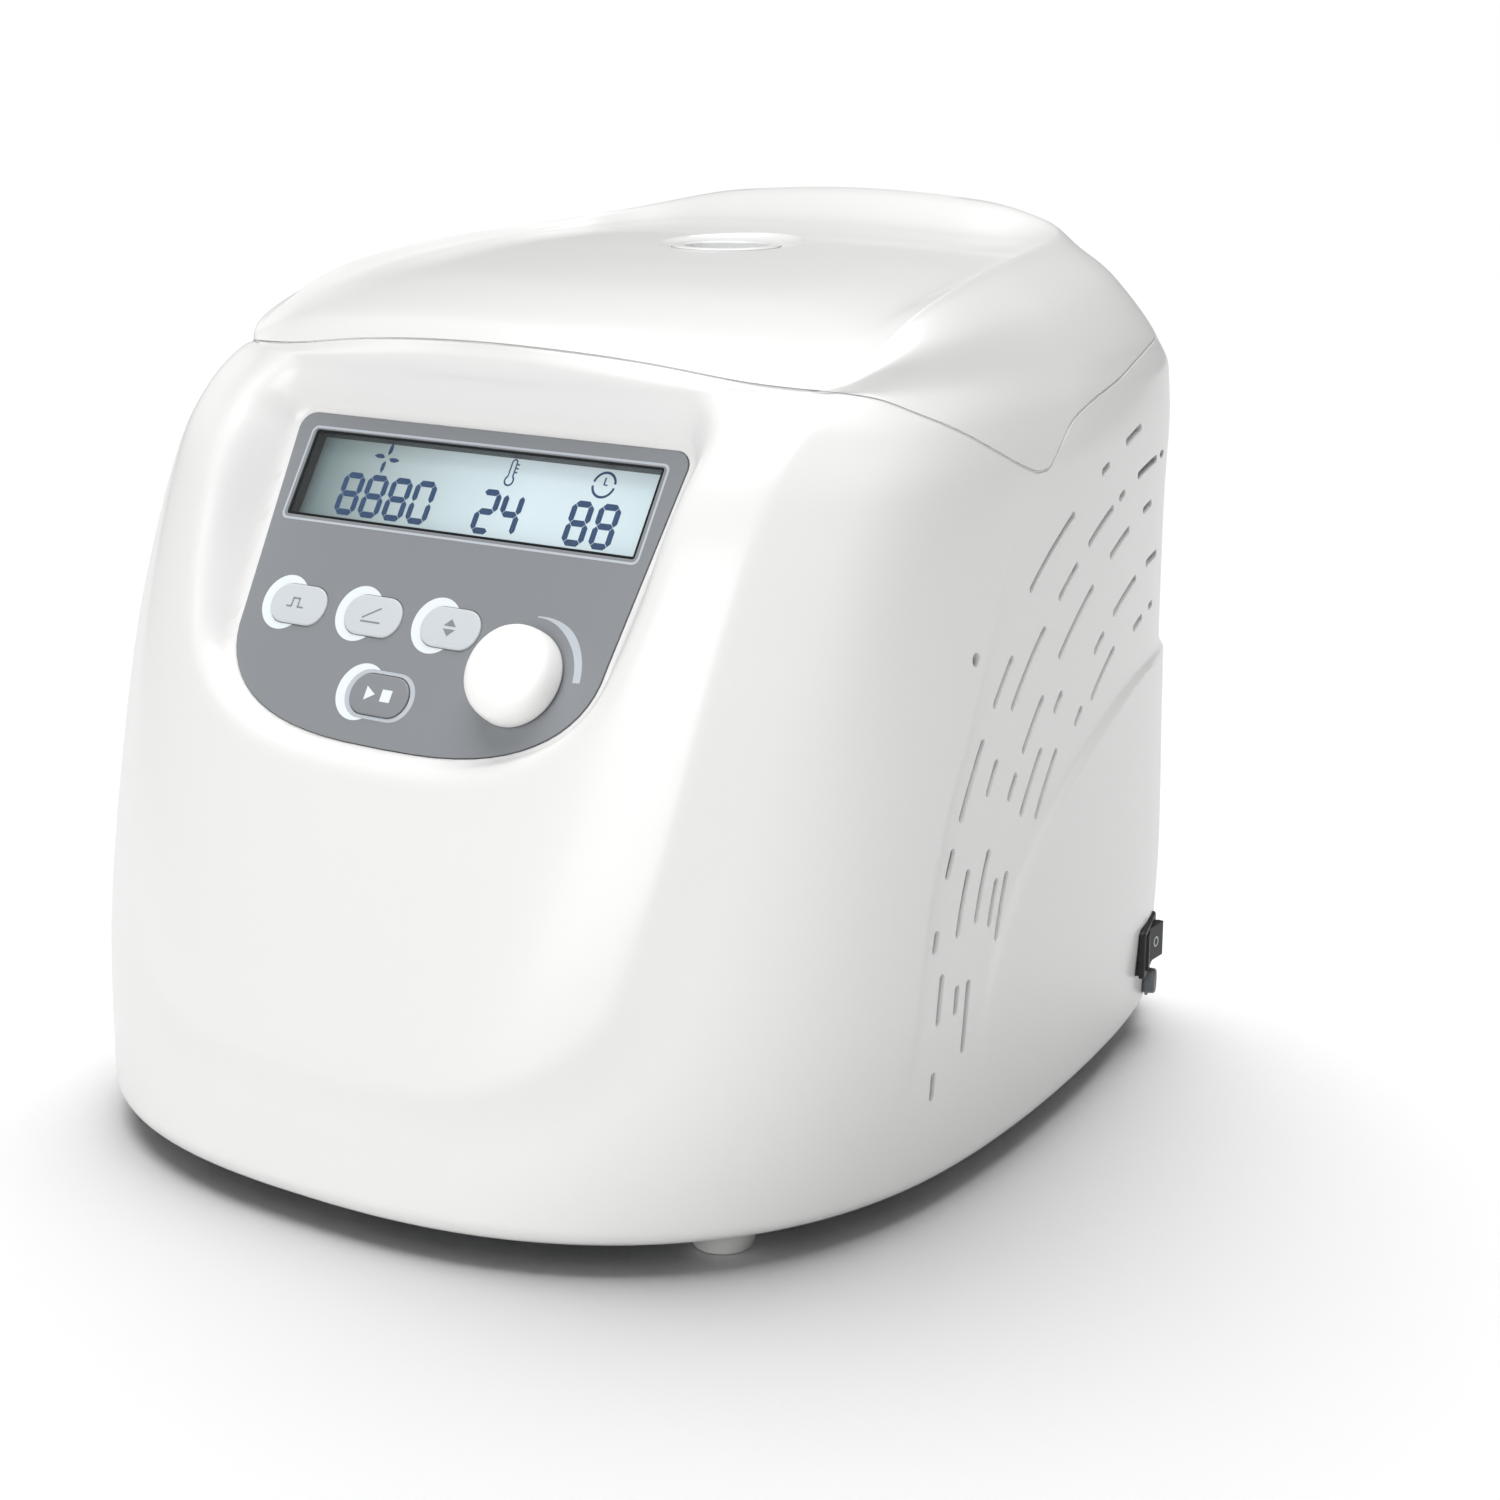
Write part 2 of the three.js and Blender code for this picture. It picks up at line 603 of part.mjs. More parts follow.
const facet_frame = new THREE.Matrix4()
  .makeTranslation(0, facet.y, facet.z)
  .multiply(new THREE.Matrix4().makeRotationX(radians(90 - facet.lean)));

// U outline of the panel in the facet's own frame, grown by margins at its sides, top and foot.
function panelOutline(side = 0, top = side, low = side) {
  const half_top = panel.half_top + side;
  const half_waist = panel.half_waist + side;
  const head = panel.top + top;
  const foot_y = panel.bottom - low;
  const corner = panel.corner + side / 2;
  const right = [];
  const steps = 8;
  for (let i = 0; i <= steps; i += 1) {
    const a = radians(lerp(-90, 0, i / steps));
    const bend = Math.pow(Math.cos(a), 0.72);
    const sink = Math.pow(-Math.sin(a), 0.9);
    right.push([half_waist * bend, panel.waist - (panel.waist - foot_y) * sink]);
  }
  right.push([half_top, head - corner], [half_top - corner * 0.3, head - corner * 0.3], [half_top - corner, head]);
  const left = right.slice(1).reverse().map(([x, y]) => [-x, y]);
  return [...right, ...left];
}

function onFacet(shape) {
  return shape.transform(facet_frame.toArray());
}

function facetPrism(outline, w0, w1) {
  return prism(outline, w0, w1, facet_frame);
}

function oblong(x, y, width, height, steps = 5) {
  const r = height / 2;
  const points = [];
  for (const [cx, start] of [[x + width / 2 - r, -90], [x - width / 2 + r, 90]]) {
    for (let i = 0; i <= steps; i += 1) {
      const a = radians(start + 180 * i / steps);
      points.push([cx + r * Math.cos(a), y + r * Math.sin(a)]);
    }
  }
  return points;
}

function rectangle(x0, x1, y0, y1) {
  return [[x0, y0], [x1, y0], [x1, y1], [x0, y1]];
}

const keys = [
  { name: 'key_pulse', x: keypad.left, y: keypad.row },
  { name: 'key_lid', x: keypad.left + keypad.pitch, y: keypad.row },
  { name: 'key_select', x: keypad.left + keypad.pitch * 2, y: keypad.row },
  { name: 'key_start', x: keypad.start, y: keypad.start_row },
];
const facet_face = -facet.overlay - clearance;
const facet_back = facet_face - facet.wall;

// The hollow over the facet: its floor is the facet, and its sides slope out to the shield.
function scoopTool() {
  const low = panelOutline(scoop.margin).map(([x, y]) => [x, y, facet_face]);
  const high = panelOutline(scoop.side, scoop.top, scoop.foot).map(([x, y]) => [x, y, facet.height_over]);
  return onFacet(ringSolid([low, high]));
}

function displayRect(grow) {
  const half = display.width / 2 + grow;
  return rectangle(-half, half, -grow, display.height + grow);
}

// Housing

const housing_skin = envelope().add(shieldBody()).subtract(ventCrescent());

function behindFacet() {
  const reach = body.half_width * 2;
  return onFacet(block(-reach, reach, -reach, reach, -reach * 2, facet_back));
}

function housing() {
  const under_deck = deck.top - deck.thickness;
  const low_room = room(body.floor - overrun, under_deck, body.wall);
  const ledge_room = room(under_deck - overrun, deck.ledge_under, body.wall)
    .intersect(wideBlock(-body.half_depth, deck.ledge_back - body.wall, 0, body.height));
  const inside = low_room.add(ledge_room).intersect(behindFacet());
  const tray = room(deck.top, body.shoulder, body.wall)
    .intersect(wideBlock(deck.ledge_back, body.half_depth, 0, body.height));
  const well = rod(bowl.radius + bowl.wall + clearance, under_deck - overrun, deck.top + overrun, 0, spindle.y, 32);
  const hinge_room = hingeRoom();
  const vents = ventSlots().subtract(room(body.floor + edge.drop * 2, body.shoulder, body.wall * 4));
  const tools = [
    inside, tray, well, aboveSeam(-body.seam / 2), vents, scoopTool(), hinge_room, releaseHole(),
    lockSlot(), switchCut(), fuseCut(), rearWindow(), facetCuts(),
  ];
  return housing_skin.subtract(wasm.Manifold.union(tools));
}

function releaseHole() {
  const shape = rod(release.radius, body.half_width / 2, body.half_width + overrun, 0, 0, 16);
  return shape.transform(new THREE.Matrix4().makeTranslation(0, release.y, release.z)
    .multiply(new THREE.Matrix4().makeRotationY(Math.PI / 2)).toArray());
}

function facetCuts() {
  const low = facet_back - overrun;
  const cuts = [facetPrism(displayRect(clearance), low, 0)];
  for (const { x, y } of keys) cuts.push(onFacet(rod(key.stem_radius + clearance, low, 0, x, y, 16)));
  cuts.push(onFacet(rod(encoder.bush + clearance, low, 0, knob.x, knob.y, 20)));
  return wasm.Manifold.union(cuts);
}

// Control panel

function overlay() {
  const low = -facet.overlay;
  let plate = facetPrism(panelOutline(), low, 0);
  plate = plate.subtract(facetPrism(displayRect(clearance), low - overrun, overrun));
  for (const { x, y } of keys) {
    const hole = oblong(x, y, key.width + clearance * 2, key.height + clearance * 2);
    plate = plate.subtract(facetPrism(hole, low - overrun, overrun));
  }
  return plate.subtract(onFacet(rod(encoder.bush + clearance, low - overrun, overrun, knob.x, knob.y, 20)));
}

function keyCap({ x, y }) {
  const low = -facet.overlay + key.travel + clearance;
  const cap = facetPrism(oblong(x, y, key.width, key.height), low, key.cap);
  const stem = onFacet(rod(key.stem_radius, facet_back, low + clearance, x, y, 16));
  return cap.add(stem);
}

function displayModule() {
  const cell = facetPrism(displayRect(0), facet_back - clearance * 2, -display.window - clearance);
  const back = facet_back - clearance;
  const frame = facetPrism(displayRect(display.rim), back - display.frame, back);
  return cell.add(frame);
}

function board() {
  const half = control_board.width / 2;
  const top = facet_back - encoder.board_gap;
  const outline = rectangle(-half, half, control_board.top - control_board.height, control_board.top);
  let plate = facetPrism(outline, top - control_board.thickness, top);
  for (const { x, y } of keys) {
    const side = key.stem_radius * 1.2;
    const reach = facet_back - key.travel - clearance;
    plate = plate.add(facetPrism(rectangle(x - side, x + side, y - side, y + side), top - clearance, reach));
  }
  const post = encoder.bush;
  for (const x of [-half + post, half - post]) {
    for (const y of [control_board.top - post, control_board.top - control_board.height + post]) {
      plate = plate.add(onFacet(rod(post / 2, top - clearance, facet_back - clearance, x, y, 12)));
    }
  }
  return plate;
}

function encoderBody() {
  const back = facet_back - encoder.board_gap + clearance;
  const half = encoder.side / 2;
  const front = facet_back - clearance;
  const can = facetPrism(rectangle(knob.x - half, knob.x + half, knob.y - half, knob.y + half), back, front);
  const bush = onFacet(rod(encoder.bush, front - overrun, -facet.overlay, knob.x, knob.y, 20));
  const bore = onFacet(rod(encoder.shaft + clearance, back + overrun / 2, overrun, knob.x, knob.y, 20));
  return can.add(bush).subtract(bore);
}

function encoderShaft() {
  const back = facet_back - encoder.board_gap + clearance;
  const low = back + overrun / 2 + clearance;
  return onFacet(rod(encoder.shaft, low, knob.height - knob.dome * 3, knob.x, knob.y, 20));
}

function knobBody() {
  const r = knob.radius;
  const top = knob.height + knob.lift;
  const profile = [
    [0, top], [r * 0.6, top - knob.dome * 0.35], [r - knob.dome * 2, top - knob.dome],
    [r - knob.dome * 0.6, top - knob.dome * 1.8], [r - knob.skirt, top - knob.dome * 3.2],
    [r, knob.lift], [r - knob.dome * 2, knob.lift], [r - knob.dome * 3, knob.lift + knob.dome * 2], [0, knob.lift + knob.dome * 2],
  ];
  const cap = turned(profile.reverse(), 24, knob.x, knob.y);
  const boss = rod(knob.bore * 1.6, knob.lift + knob.dome, knob.lift + knob.dome * 3, knob.x, knob.y, 14);
  const bore = rod(knob.bore + clearance / 2, 0, knob.height - knob.dome * 3 + clearance, knob.x, knob.y, 14);
  return onFacet(cap.add(boss).subtract(bore));
}

// Hinges: knuckles on a pin at each side of the back edge

function hingeRod(radius, x0, x1, sides = 14) {
  const shape = rod(radius, x0, x1, 0, 0, sides);
  const matrix = new THREE.Matrix4().makeTranslation(0, hinge.y, hinge.z)
    .multiply(new THREE.Matrix4().makeRotationY(Math.PI / 2));
  return shape.transform(matrix.toArray());
}

const hinge_half = hinge.knuckle * 1.5 + clearance * 2;

function hingeRoom() {
  const tools = [];
  for (const side of [-1, 1]) {
    const x = side * hinge.place;
    const x0 = x - hinge_half - clearance;
    const x1 = x + hinge_half + clearance;
    tools.push(hingeRod(hinge.barrel + clearance * 2, x0, x1));
    const z0 = hinge.z - hinge.drop - clearance;
    const back = hinge.y + clearance;
    tools.push(block(x0, x1, back - hinge.leaf - clearance * 3, back, z0, hinge.z));
  }
  return wasm.Manifold.union(tools);
}

function hingeBase(side) {
  const x = side * hinge.place;
  const middle = hinge.knuckle / 2 + clearance;
  let shape = null;
  for (const [x0, x1] of [[x - hinge_half, x - middle], [x + middle, x + hinge_half]]) {
    const knuckle = hingeRod(hinge.barrel, x0, x1);
    shape = shape ? shape.add(knuckle) : knuckle;
  }
  const low = hinge.z - hinge.drop;
  const leaf = block(x - hinge_half, x + hinge_half, hinge.y - hinge.leaf, hinge.y, low, hinge.z - hinge.barrel);
  const ears = block(x - hinge_half, x - middle, hinge.y - hinge.leaf, hinge.y, low, hinge.z)
    .add(block(x + middle, x + hinge_half, hinge.y - hinge.leaf, hinge.y, low, hinge.z));
  const swing = hingeRod(hinge.barrel + clearance, x - middle, x + middle);
  return shape.add(leaf).add(ears).subtract(swing)
    .subtract(hingeRod(hinge.pin + clearance, x - hinge_half - overrun, x + hinge_half + overrun));
}

function hingeLeaf(side) {
  const x = side * hinge.place;
  const half = hinge.knuckle / 2;
  const leaf = block(x - half, x + half, hinge.y - hinge.reach, hinge.y, hinge.z, hinge.z + hinge.leaf);
  const bore = hingeRod(hinge.pin + clearance, x - half - overrun, x + half + overrun);
  return hingeRod(hinge.barrel, x - half, x + half).add(leaf).subtract(bore);
}

function hingePin(side) {
  const x = side * hinge.place;
  return hingeRod(hinge.pin, x - hinge_half, x + hinge_half);
}

// Lid

const sight_top = lidTop(0, spindle.y);

function lidCover() {
  const hollow = lidRoom(body.wall);
  const hole = rod(sight.ring + clearance, deck.top, body.height, 0, spindle.y, 28);
  const low = sight_top - sight.dish_depth;
  const dish = turned([[0, low], [sight.ring, low], [sight.dish, body.height], [0, body.height]], 28, 0, spindle.y);
  const shell = envelope().intersect(aboveSeam(body.seam / 2)).subtract(hollow);
  const leaf_top = hinge.z + hinge.leaf + clearance;
  return shell.subtract(hole).subtract(dish).subtract(leafRoom(leaf_top)).subtract(hingeRoom());
}

function leafRoom(top) {
  const tools = [-1, 1].map((side) => {
    const x = side * hinge.place;
    const half = hinge.knuckle / 2 + clearance;
    return block(x - half, x + half, hinge.y - hinge.reach - clearance, hinge.y + overrun, hinge.z - overrun, top);
  });
  return tools[0].add(tools[1]);
}

function lidLiner() {
  const cavity = lidRoom(body.wall + clearance * 2);
  const low = deck.top + bowl.lip_thickness + gasket.height + clearance * 3;
  const room = cavity.intersect(aboveSeam(liner.gap)).intersect(wideBlock(-body.half_depth, body.half_depth, low, body.height));
  const tall_enough = cavity.translate([0, 0, -liner.skin]);
  const shell = room.subtract(room.translate([0, 0, liner.skin])).intersect(tall_enough);
  const floor = low + liner.floor;
  const top = seamHeight(body.half_depth) + liner.gap + liner.skin / 2;
  const boss = rod(liner.boss, low, top, 0, spindle.y, 32);
  const inside = rod(liner.boss - liner.boss_wall, floor, body.height, 0, spindle.y, 32);
  const strip = wideBlock(spindle.y + liner.boss + liner.boss_wall, body.half_depth, 0, body.height);
  const ring = boss.intersect(cavity);
  const hole = rod(sight.ring, 0, body.height, 0, spindle.y, 28);
  const window_seat = striker.width / 2 + clearance;
  const slot = block(-window_seat, window_seat, lock.y - striker.thickness, lock.y + striker.thickness, 0, body.height);
  const whole = shell.subtract(strip).add(ring).subtract(inside).subtract(hole).subtract(slot).subtract(leafRoom(body.height));
  return biggest(whole);
}

function biggest(shape) {
  return shape.decompose().reduce((best, piece) => (piece.volume() > best.volume() ? piece : best));
}

function windowRing() {
  const top = sight_top - sight.dish_depth + clearance;
  const low = sight_top - body.wall - clearance * 4;
  const seat = top - sight.thickness - clearance;
  return turned([[sight.lip, low], [sight.ring, low], [sight.ring, top], [sight.radius + clearance, top],
    [sight.radius + clearance, seat], [sight.lip, seat]], 28, 0, spindle.y);
}

function sightWindow() {
  const top = sight_top - sight.dish_depth;
  return rod(sight.radius, top - sight.thickness, top, 0, spindle.y, 28);
}

function sightTube() {
  const low = deck.top + bowl.lip_thickness + gasket.height + clearance * 3;
  const top = sight_top - body.wall - clearance * 5;
  const r = sight.ring - clearance;
  return turned([[r - sight.tube_wall, low], [r, low], [r, top], [r - sight.tube_wall, top]], 28, 0, spindle.y);
}

function strikerPlate() {
  const half = striker.width / 2;
  const top = lidTop(0, lock.y - striker.thickness - body.wall) - body.wall - clearance * 2;
  const foot_z = seamHeight(lock.y) - striker.drop;
  const y0 = lock.y - striker.thickness / 2;
  const y1 = lock.y + striker.thickness / 2;
  const plate = block(-half, half, y0, y1, foot_z, top);
  const window = striker.window / 2;
  const middle = foot_z + striker.tip + window;
  const flange = block(-half, half, y0, y0 + striker.drop / 2, top - striker.thickness, top);
  return plate.add(flange).subtract(block(-window, half + overrun, y0 - overrun, y1 + overrun, middle - window, middle + window));
}

// Lid lock, whose bolt slides into the hook at the striker's foot

function lockSlot() {
  const half = striker.width / 2 + clearance * 4;
  const depth = striker.thickness / 2 + clearance * 5;
  return block(-half, half, lock.y - depth, lock.y + depth, deck.ledge_under - overrun, body.height);
}

function lockFrame() {
  const half = lock.width / 2;
  const top = deck.ledge_under - clearance;
  const y0 = lock.y - lock.depth / 2;
  const y1 = Math.min(lock.y + lock.depth / 2, deck.ledge_back - body.wall - clearance);
  const low = top - lock.height;
  const outer = block(-half, half, y0, y1, low, top);
  const slot = striker.width / 2 + clearance * 3;
  const gap = striker.thickness / 2 + clearance * 2;
  const inner = block(-slot, slot, lock.y - gap, lock.y + gap, low - overrun, top + overrun);
  const centre = boltHeight();
  const shelf = centre - solenoid.radius - clearance;
  const strip = block(half - clearance, half + lock.bolt + solenoid.length, y0, y1, shelf - lock.sheet, shelf);
  const post = block(half - lock.sheet, half, y0, y1, shelf - lock.sheet, top);
  return outer.add(strip).add(post).subtract(inner).subtract(boltShape(clearance, lock.travel + clearance));
}

function boltHeight() {
  return seamHeight(lock.y) - striker.drop + striker.tip + striker.window / 2;
}

// The bolt lies along X beside the striker's window and slides into it.
function boltShape(grow, reach) {
  const foot_z = boltHeight();
  const half = lock.bolt_thickness / 2 + grow;
  const x0 = striker.width / 2 + clearance * 2 - (grow > 0 ? striker.width : 0);
  const x1 = lock.width / 2 + lock.bolt + (grow > 0 ? overrun : 0);
  return block(x0 - (grow > 0 ? reach : 0), x1, lock.y - half, lock.y + half, foot_z - half, foot_z + half);
}

function solenoidBody() {
  const x0 = lock.width / 2 + lock.bolt + clearance;
  const foot_z = boltHeight();
  const can = rod(solenoid.radius, 0, solenoid.length, 0, 0, 24)
    .transform(new THREE.Matrix4().makeTranslation(x0, lock.y, foot_z)
      .multiply(new THREE.Matrix4().makeRotationY(Math.PI / 2)).toArray());
  return can;
}

// Drive, bowl and rotor

function bowlBody() {
  const { radius: r, wall: t, floor, lip, lip_thickness, corner, shaft_hole } = bowl;
  const top = deck.top + clearance + lip_thickness;
  const bend = [];
  const steps = 3;
  for (let i = 0; i <= steps; i += 1) {
    const a = radians(90 * i / steps);
    bend.push([Math.sin(a), 1 - Math.cos(a)]);
  }
  const inner = bend.map(([u, v]) => [r - corner + corner * u, floor + t + corner * v]);
  const outer = bend.map(([u, v]) => [r + t - corner + corner * u, floor + corner * v]).reverse();
  const profile = [[shaft_hole, floor + t], ...inner, [r, top], [lip, top], [lip, top - lip_thickness],
    [r + t, top - lip_thickness], ...outer, [shaft_hole, floor]];
  return turned(profile.reverse(), 32, 0, spindle.y);
}

function gasketRing() {
  const low = deck.top + clearance + bowl.lip_thickness + clearance;
  const top = low + gasket.height;
  const middle = (gasket.inner + gasket.outer) / 2;
  return turned([[gasket.inner, low], [gasket.outer, low], [gasket.outer, top - clearance], [middle, top],
    [gasket.inner, top - clearance]], 32, 0, spindle.y);
}

function rotorBody() {
  const { radius: r, base, height, pitch, tube, depth, mouth, places } = rotor;
  const top = base + height;
  const bore = shaft.stud + clearance;
  const profile = [
    [bore, base + height * 0.5], [shaft.cone_foot + clearance, base + height * 0.02], [r * 0.55, base],
    [r * 0.9, base + height * 0.07], [r, base + height * 0.22], [r, base + height * 0.4],
    [r * 0.93, base + height * 0.9], [r * 0.9, top], [r * 0.84, top], [r * 0.81, base + height * 0.92],
    [r * 0.42, base + height * 0.42], [r * 0.3, base + height * 0.42], [r * 0.27, base + height * 0.8],
    [bore, base + height * 0.8],
  ];
  const blank = turned(profile, 32, 0, 0);
  const tools = [];
  for (let i = 0; i < places; i += 1) {
    const tilt = new THREE.Matrix4().makeRotationZ(radians(360 * i / places))
      .multiply(new THREE.Matrix4().makeTranslation(pitch, 0, mouth))
      .multiply(new THREE.Matrix4().makeRotationY(radians(135)));
    tools.push(rod(tube, -depth / 2, depth, 0, 0, 8).transform(tilt.toArray()));
  }
  return blank.subtract(wasm.Manifold.union(tools)).translate([0, spindle.y, 0]);
}

function rotorLid() {
  const seat = rotor.base + rotor.height + clearance;
  const r = rotor_lid.radius;
  const top = seat + rotor_lid.thickness;
  const bore = shaft.stud + clearance;
  return turned([[bore, seat], [r, seat], [r + rotor_lid.lip / 2, seat + rotor_lid.thickness / 2],
    [r, top + clearance], [r * 0.5, top + rotor_lid.thickness * 0.5], [bore, top + rotor_lid.thickness * 0.5]], 32, 0, spindle.y);
}

function rotorNut() {
  const seat = rotor.base + rotor.height + clearance + rotor_lid.thickness * 1.5 + clearance;
  const r = rotor_nut.radius;
  const top = seat + rotor_nut.height;
  let nut = turned([[0, seat], [r, seat], [r, top - clearance * 3], [r * 0.9, top], [0, top]], 24, 0, 0);
  for (let i = 0; i < rotor_nut.lobes; i += 1) {
    const a = radians(360 * i / rotor_nut.lobes);
    nut = nut.subtract(rod(r * 0.22, seat - overrun, top + overrun, r * 1.08 * Math.cos(a), r * 1.08 * Math.sin(a), 8));
  }
  return nut.subtract(rod(rotor_nut.bore, seat - overrun, shaft.top + clearance, 0, 0, 14)).translate([0, spindle.y, 0]);
}

function motorShaft() {
  const seat = rotor.base + rotor.height * 0.02 - clearance * 2;
  const stud_foot = rotor.base + rotor.height * 0.5 - clearance * 3;
  const profile = [[0, shaft.base], [shaft.radius, shaft.base], [shaft.radius, seat - shaft.radius], [shaft.cone_foot - clearance, seat],
    [shaft.stud, stud_foot], [shaft.stud, shaft.top], [0, shaft.top]];
  return turned(profile, 20, 0, spindle.y);
}

function motorBody() {
  const { radius: r, base, top, cap, boss, boss_height } = motor;
  const ridge_z = base + (top - base) * 0.78;
  const profile = [[0, base], [cap, base], [r, base + (r - cap)], [r, ridge_z], [r * 0.96, ridge_z + clearance * 3],
    [r * 0.96, top], [boss, top], [boss, top + boss_height], [0, top + boss_height]];
  const bore = rod(shaft.radius + clearance, shaft.base - clearance, top + boss_height + overrun, 0, 0, 20);
  return turned(profile, 28, 0, 0).subtract(bore).translate([0, spindle.y, 0]);
}

const damper_turns = [30, 150, 270];
const stand_top = motor.top + clearance - mount.damper_height - clearance * 2;

function around(radius, turn) {
  return [radius * Math.cos(radians(turn)), spindle.y + radius * Math.sin(radians(turn))];
}

function motorMount() {
  const low = motor.top + clearance;
  const hub = motor.boss + clearance;
  const disc = rod(mount.plate_radius, low, low + mount.plate, 0, spindle.y, 32);
  return disc.subtract(rod(hub, low - overrun, low + mount.plate + overrun, 0, spindle.y, 28));
}

function damper(turn) {
  const [x, y] = around(mount.pitch, turn);
  const low = stand_top + clearance;
  const top = motor.top;
  const r = mount.damper_radius;
  const waist = (low + top) / 2;
  return turned([[0, low], [r, low], [r * 0.8, waist], [r, top], [0, top]], 20, x, y);
}

function motorStand() {
  const floor = body.floor + base_plate.edge_gap + base_plate.thickness + clearance;
  let shape = turned([[stand.ring_inner, stand_top - stand.ring], [stand.ring_outer, stand_top - stand.ring],
    [stand.ring_outer, stand_top], [stand.ring_inner, stand_top]], 28, 0, spindle.y);
  for (const turn of damper_turns) {
    const [x, y] = around(mount.pitch, turn);
    shape = shape.add(rod(stand.post, floor, stand_top - stand.ring / 2, x, y, 14));
  }
  return shape;
}

// Base, feet and back

function basePlate() {
  const low = body.floor + base_plate.edge_gap;
  const ring = (z) => closed(plainer(wallHalf(body.floor + edge.drop, rim_inset + clearance)))
    .map(([x, y]) => [x, y, z]);
  return ringSolid([ring(low), ring(low + base_plate.thickness)]);
}

function footPiece(x, y) {
  const top = body.floor + base_plate.edge_gap - clearance;
  const r = foot.radius;
  return turned([[0, 0], [foot.foot_radius - 1, 0], [foot.foot_radius, foot.radius - foot.foot_radius], [r, top], [0, top]], 28, x, y);
}

function rearWindow() {
  const { half_width: w, low, high, lip, thickness } = rear_plate;
  const depth = body.half_depth - thickness - clearance * 2;
  const seat = block(-w - clearance, w + clearance, depth, body.half_depth + overrun, low - clearance, high + clearance);
  const hole = block(-w + lip, w - lip, depth - body.wall * 2, depth + overrun, low + lip, high - lip);
  return seat.add(hole);
}

function rearPlate() {
  const { half_width: w, low, high, thickness, slot, pitch, slots } = rear_plate;
  const back = body.half_depth - clearance * 2 - 0;
  let plate = block(-w, w, back - thickness, back, low, high);
  const first = -w + pitch * 1.5;
  const mid = (low + high) / 2;
  for (let i = 0; i < slots; i += 1) {
    const x = first + i * pitch;
    plate = plate.subtract(block(x - slot / 2, x + slot / 2, back - overrun * 2, back + overrun, mid, high - pitch));
  }
  const half = inlet.width / 2 + clearance;
  const tall = inlet.height / 2 + clearance;
  return plate.subtract(block(inlet.x - half, inlet.x + half, back - overrun * 2, back + overrun, inlet.z - tall, inlet.z + tall));
}

function powerInlet() {
  const back = body.half_depth - clearance;
  const half = inlet.width / 2;
  const tall = inlet.height / 2;
  const front = back - inlet.depth;
  const wall = inlet.thickness;
  const shell = block(inlet.x - half, inlet.x + half, front, back, inlet.z - tall, inlet.z + tall);
  const pocket = block(inlet.x - half + wall, inlet.x + half - wall, front + wall, back + overrun,
    inlet.z - tall + wall, inlet.z + tall - wall);
  let shape = shell.subtract(pocket);
  for (const [x, z] of [[-7, -2], [0, 2.5], [7, -2]]) {
    const px = inlet.x + x;
    const pz = inlet.z + z;
    const half_blade = inlet.blade / 2;
    shape = shape.add(block(px - half_blade, px + half_blade, front + wall / 2, front + wall + inlet.blade_length,
      pz - inlet.blade, pz + inlet.blade));
  }
  return shape;
}

// Power switch on the right wall, near the back

const switch_place = wallAt(power_switch.y, power_switch.z);
const switch_frame = new THREE.Matrix4()
  .makeTranslation(switch_place.x, power_switch.y, power_switch.z)
  .multiply(new THREE.Matrix4().makeRotationZ(switch_place.turn));

// In the switch's own frame +X points out of the wall, +Y to the back and +Z up.
function onSwitch(shape) {
  return shape.transform(switch_frame.toArray());
}

function switchCut() {
  const half = power_switch.width / 2 - power_switch.rim / 2 + clearance;
  const tall = power_switch.height / 2 - power_switch.rim / 2 + clearance;
  const seat = block(-clearance, overrun * 3, -power_switch.width / 2 - clearance, power_switch.width / 2 + clearance,
    -power_switch.height / 2 - clearance, power_switch.height / 2 + clearance);
  return onSwitch(block(-power_switch.depth - overrun, overrun, -half, half, -tall, tall).add(seat));
}

function switchBody() {
  const { width, height, rim, thickness, depth } = power_switch;
  const half = width / 2;
  const tall = height / 2;
  const bezel = block(0, thickness, -half, half, -tall, tall);
  const box = block(-depth, clearance, -half + rim / 2, half - rim / 2, -tall + rim / 2, tall - rim / 2);
  const pocket = block(-depth + thickness, overrun * 2, -half + rim, half - rim, -tall + rim, tall - rim);
  return onSwitch(bezel.add(box).subtract(pocket));
}

function rockerProfile() {
  const reach = power_switch.width / 2 - power_switch.rim - clearance * 2;
  const rise = power_switch.rise;
  return [[-reach, rise * 0.35], [-reach * 0.9, -rise * 0.2], [0, -rise * 0.55], [reach * 0.9, -rise * 0.2], [reach, rise * 0.35],
    [reach * 0.94, rise * 0.62], [0, rise * 0.3], [-reach * 0.94, rise * 0.62]];
}

function powerRocker() {
  const tall = power_switch.height / 2 - power_switch.rim - clearance;
  const plan = new THREE.Matrix4().makeBasis(
    new THREE.Vector3(0, 1, 0), new THREE.Vector3(1, 0, 0), new THREE.Vector3(0, 0, -1));
  const tilt = new THREE.Matrix4().makeRotationZ(radians(-power_switch.swing / 2));
  const shape = prism(rockerProfile(), -tall, tall, tilt.multiply(plan));
  return onSwitch(shape);
}

// Fuse holder under the switch

const fuse_place = wallAt(fuse.y, fuse.z);
const fuse_frame = new THREE.Matrix4()
  .makeTranslation(fuse_place.x, fuse.y, fuse.z)
  .multiply(new THREE.Matrix4().makeRotationZ(fuse_place.turn))
  .multiply(new THREE.Matrix4().makeRotationY(Math.PI / 2));

function fuseCut() {
  return rod(fuse.body_radius + clearance, -fuse.body - overrun, overrun * 2, 0, 0, 20).transform(fuse_frame.toArray());
}

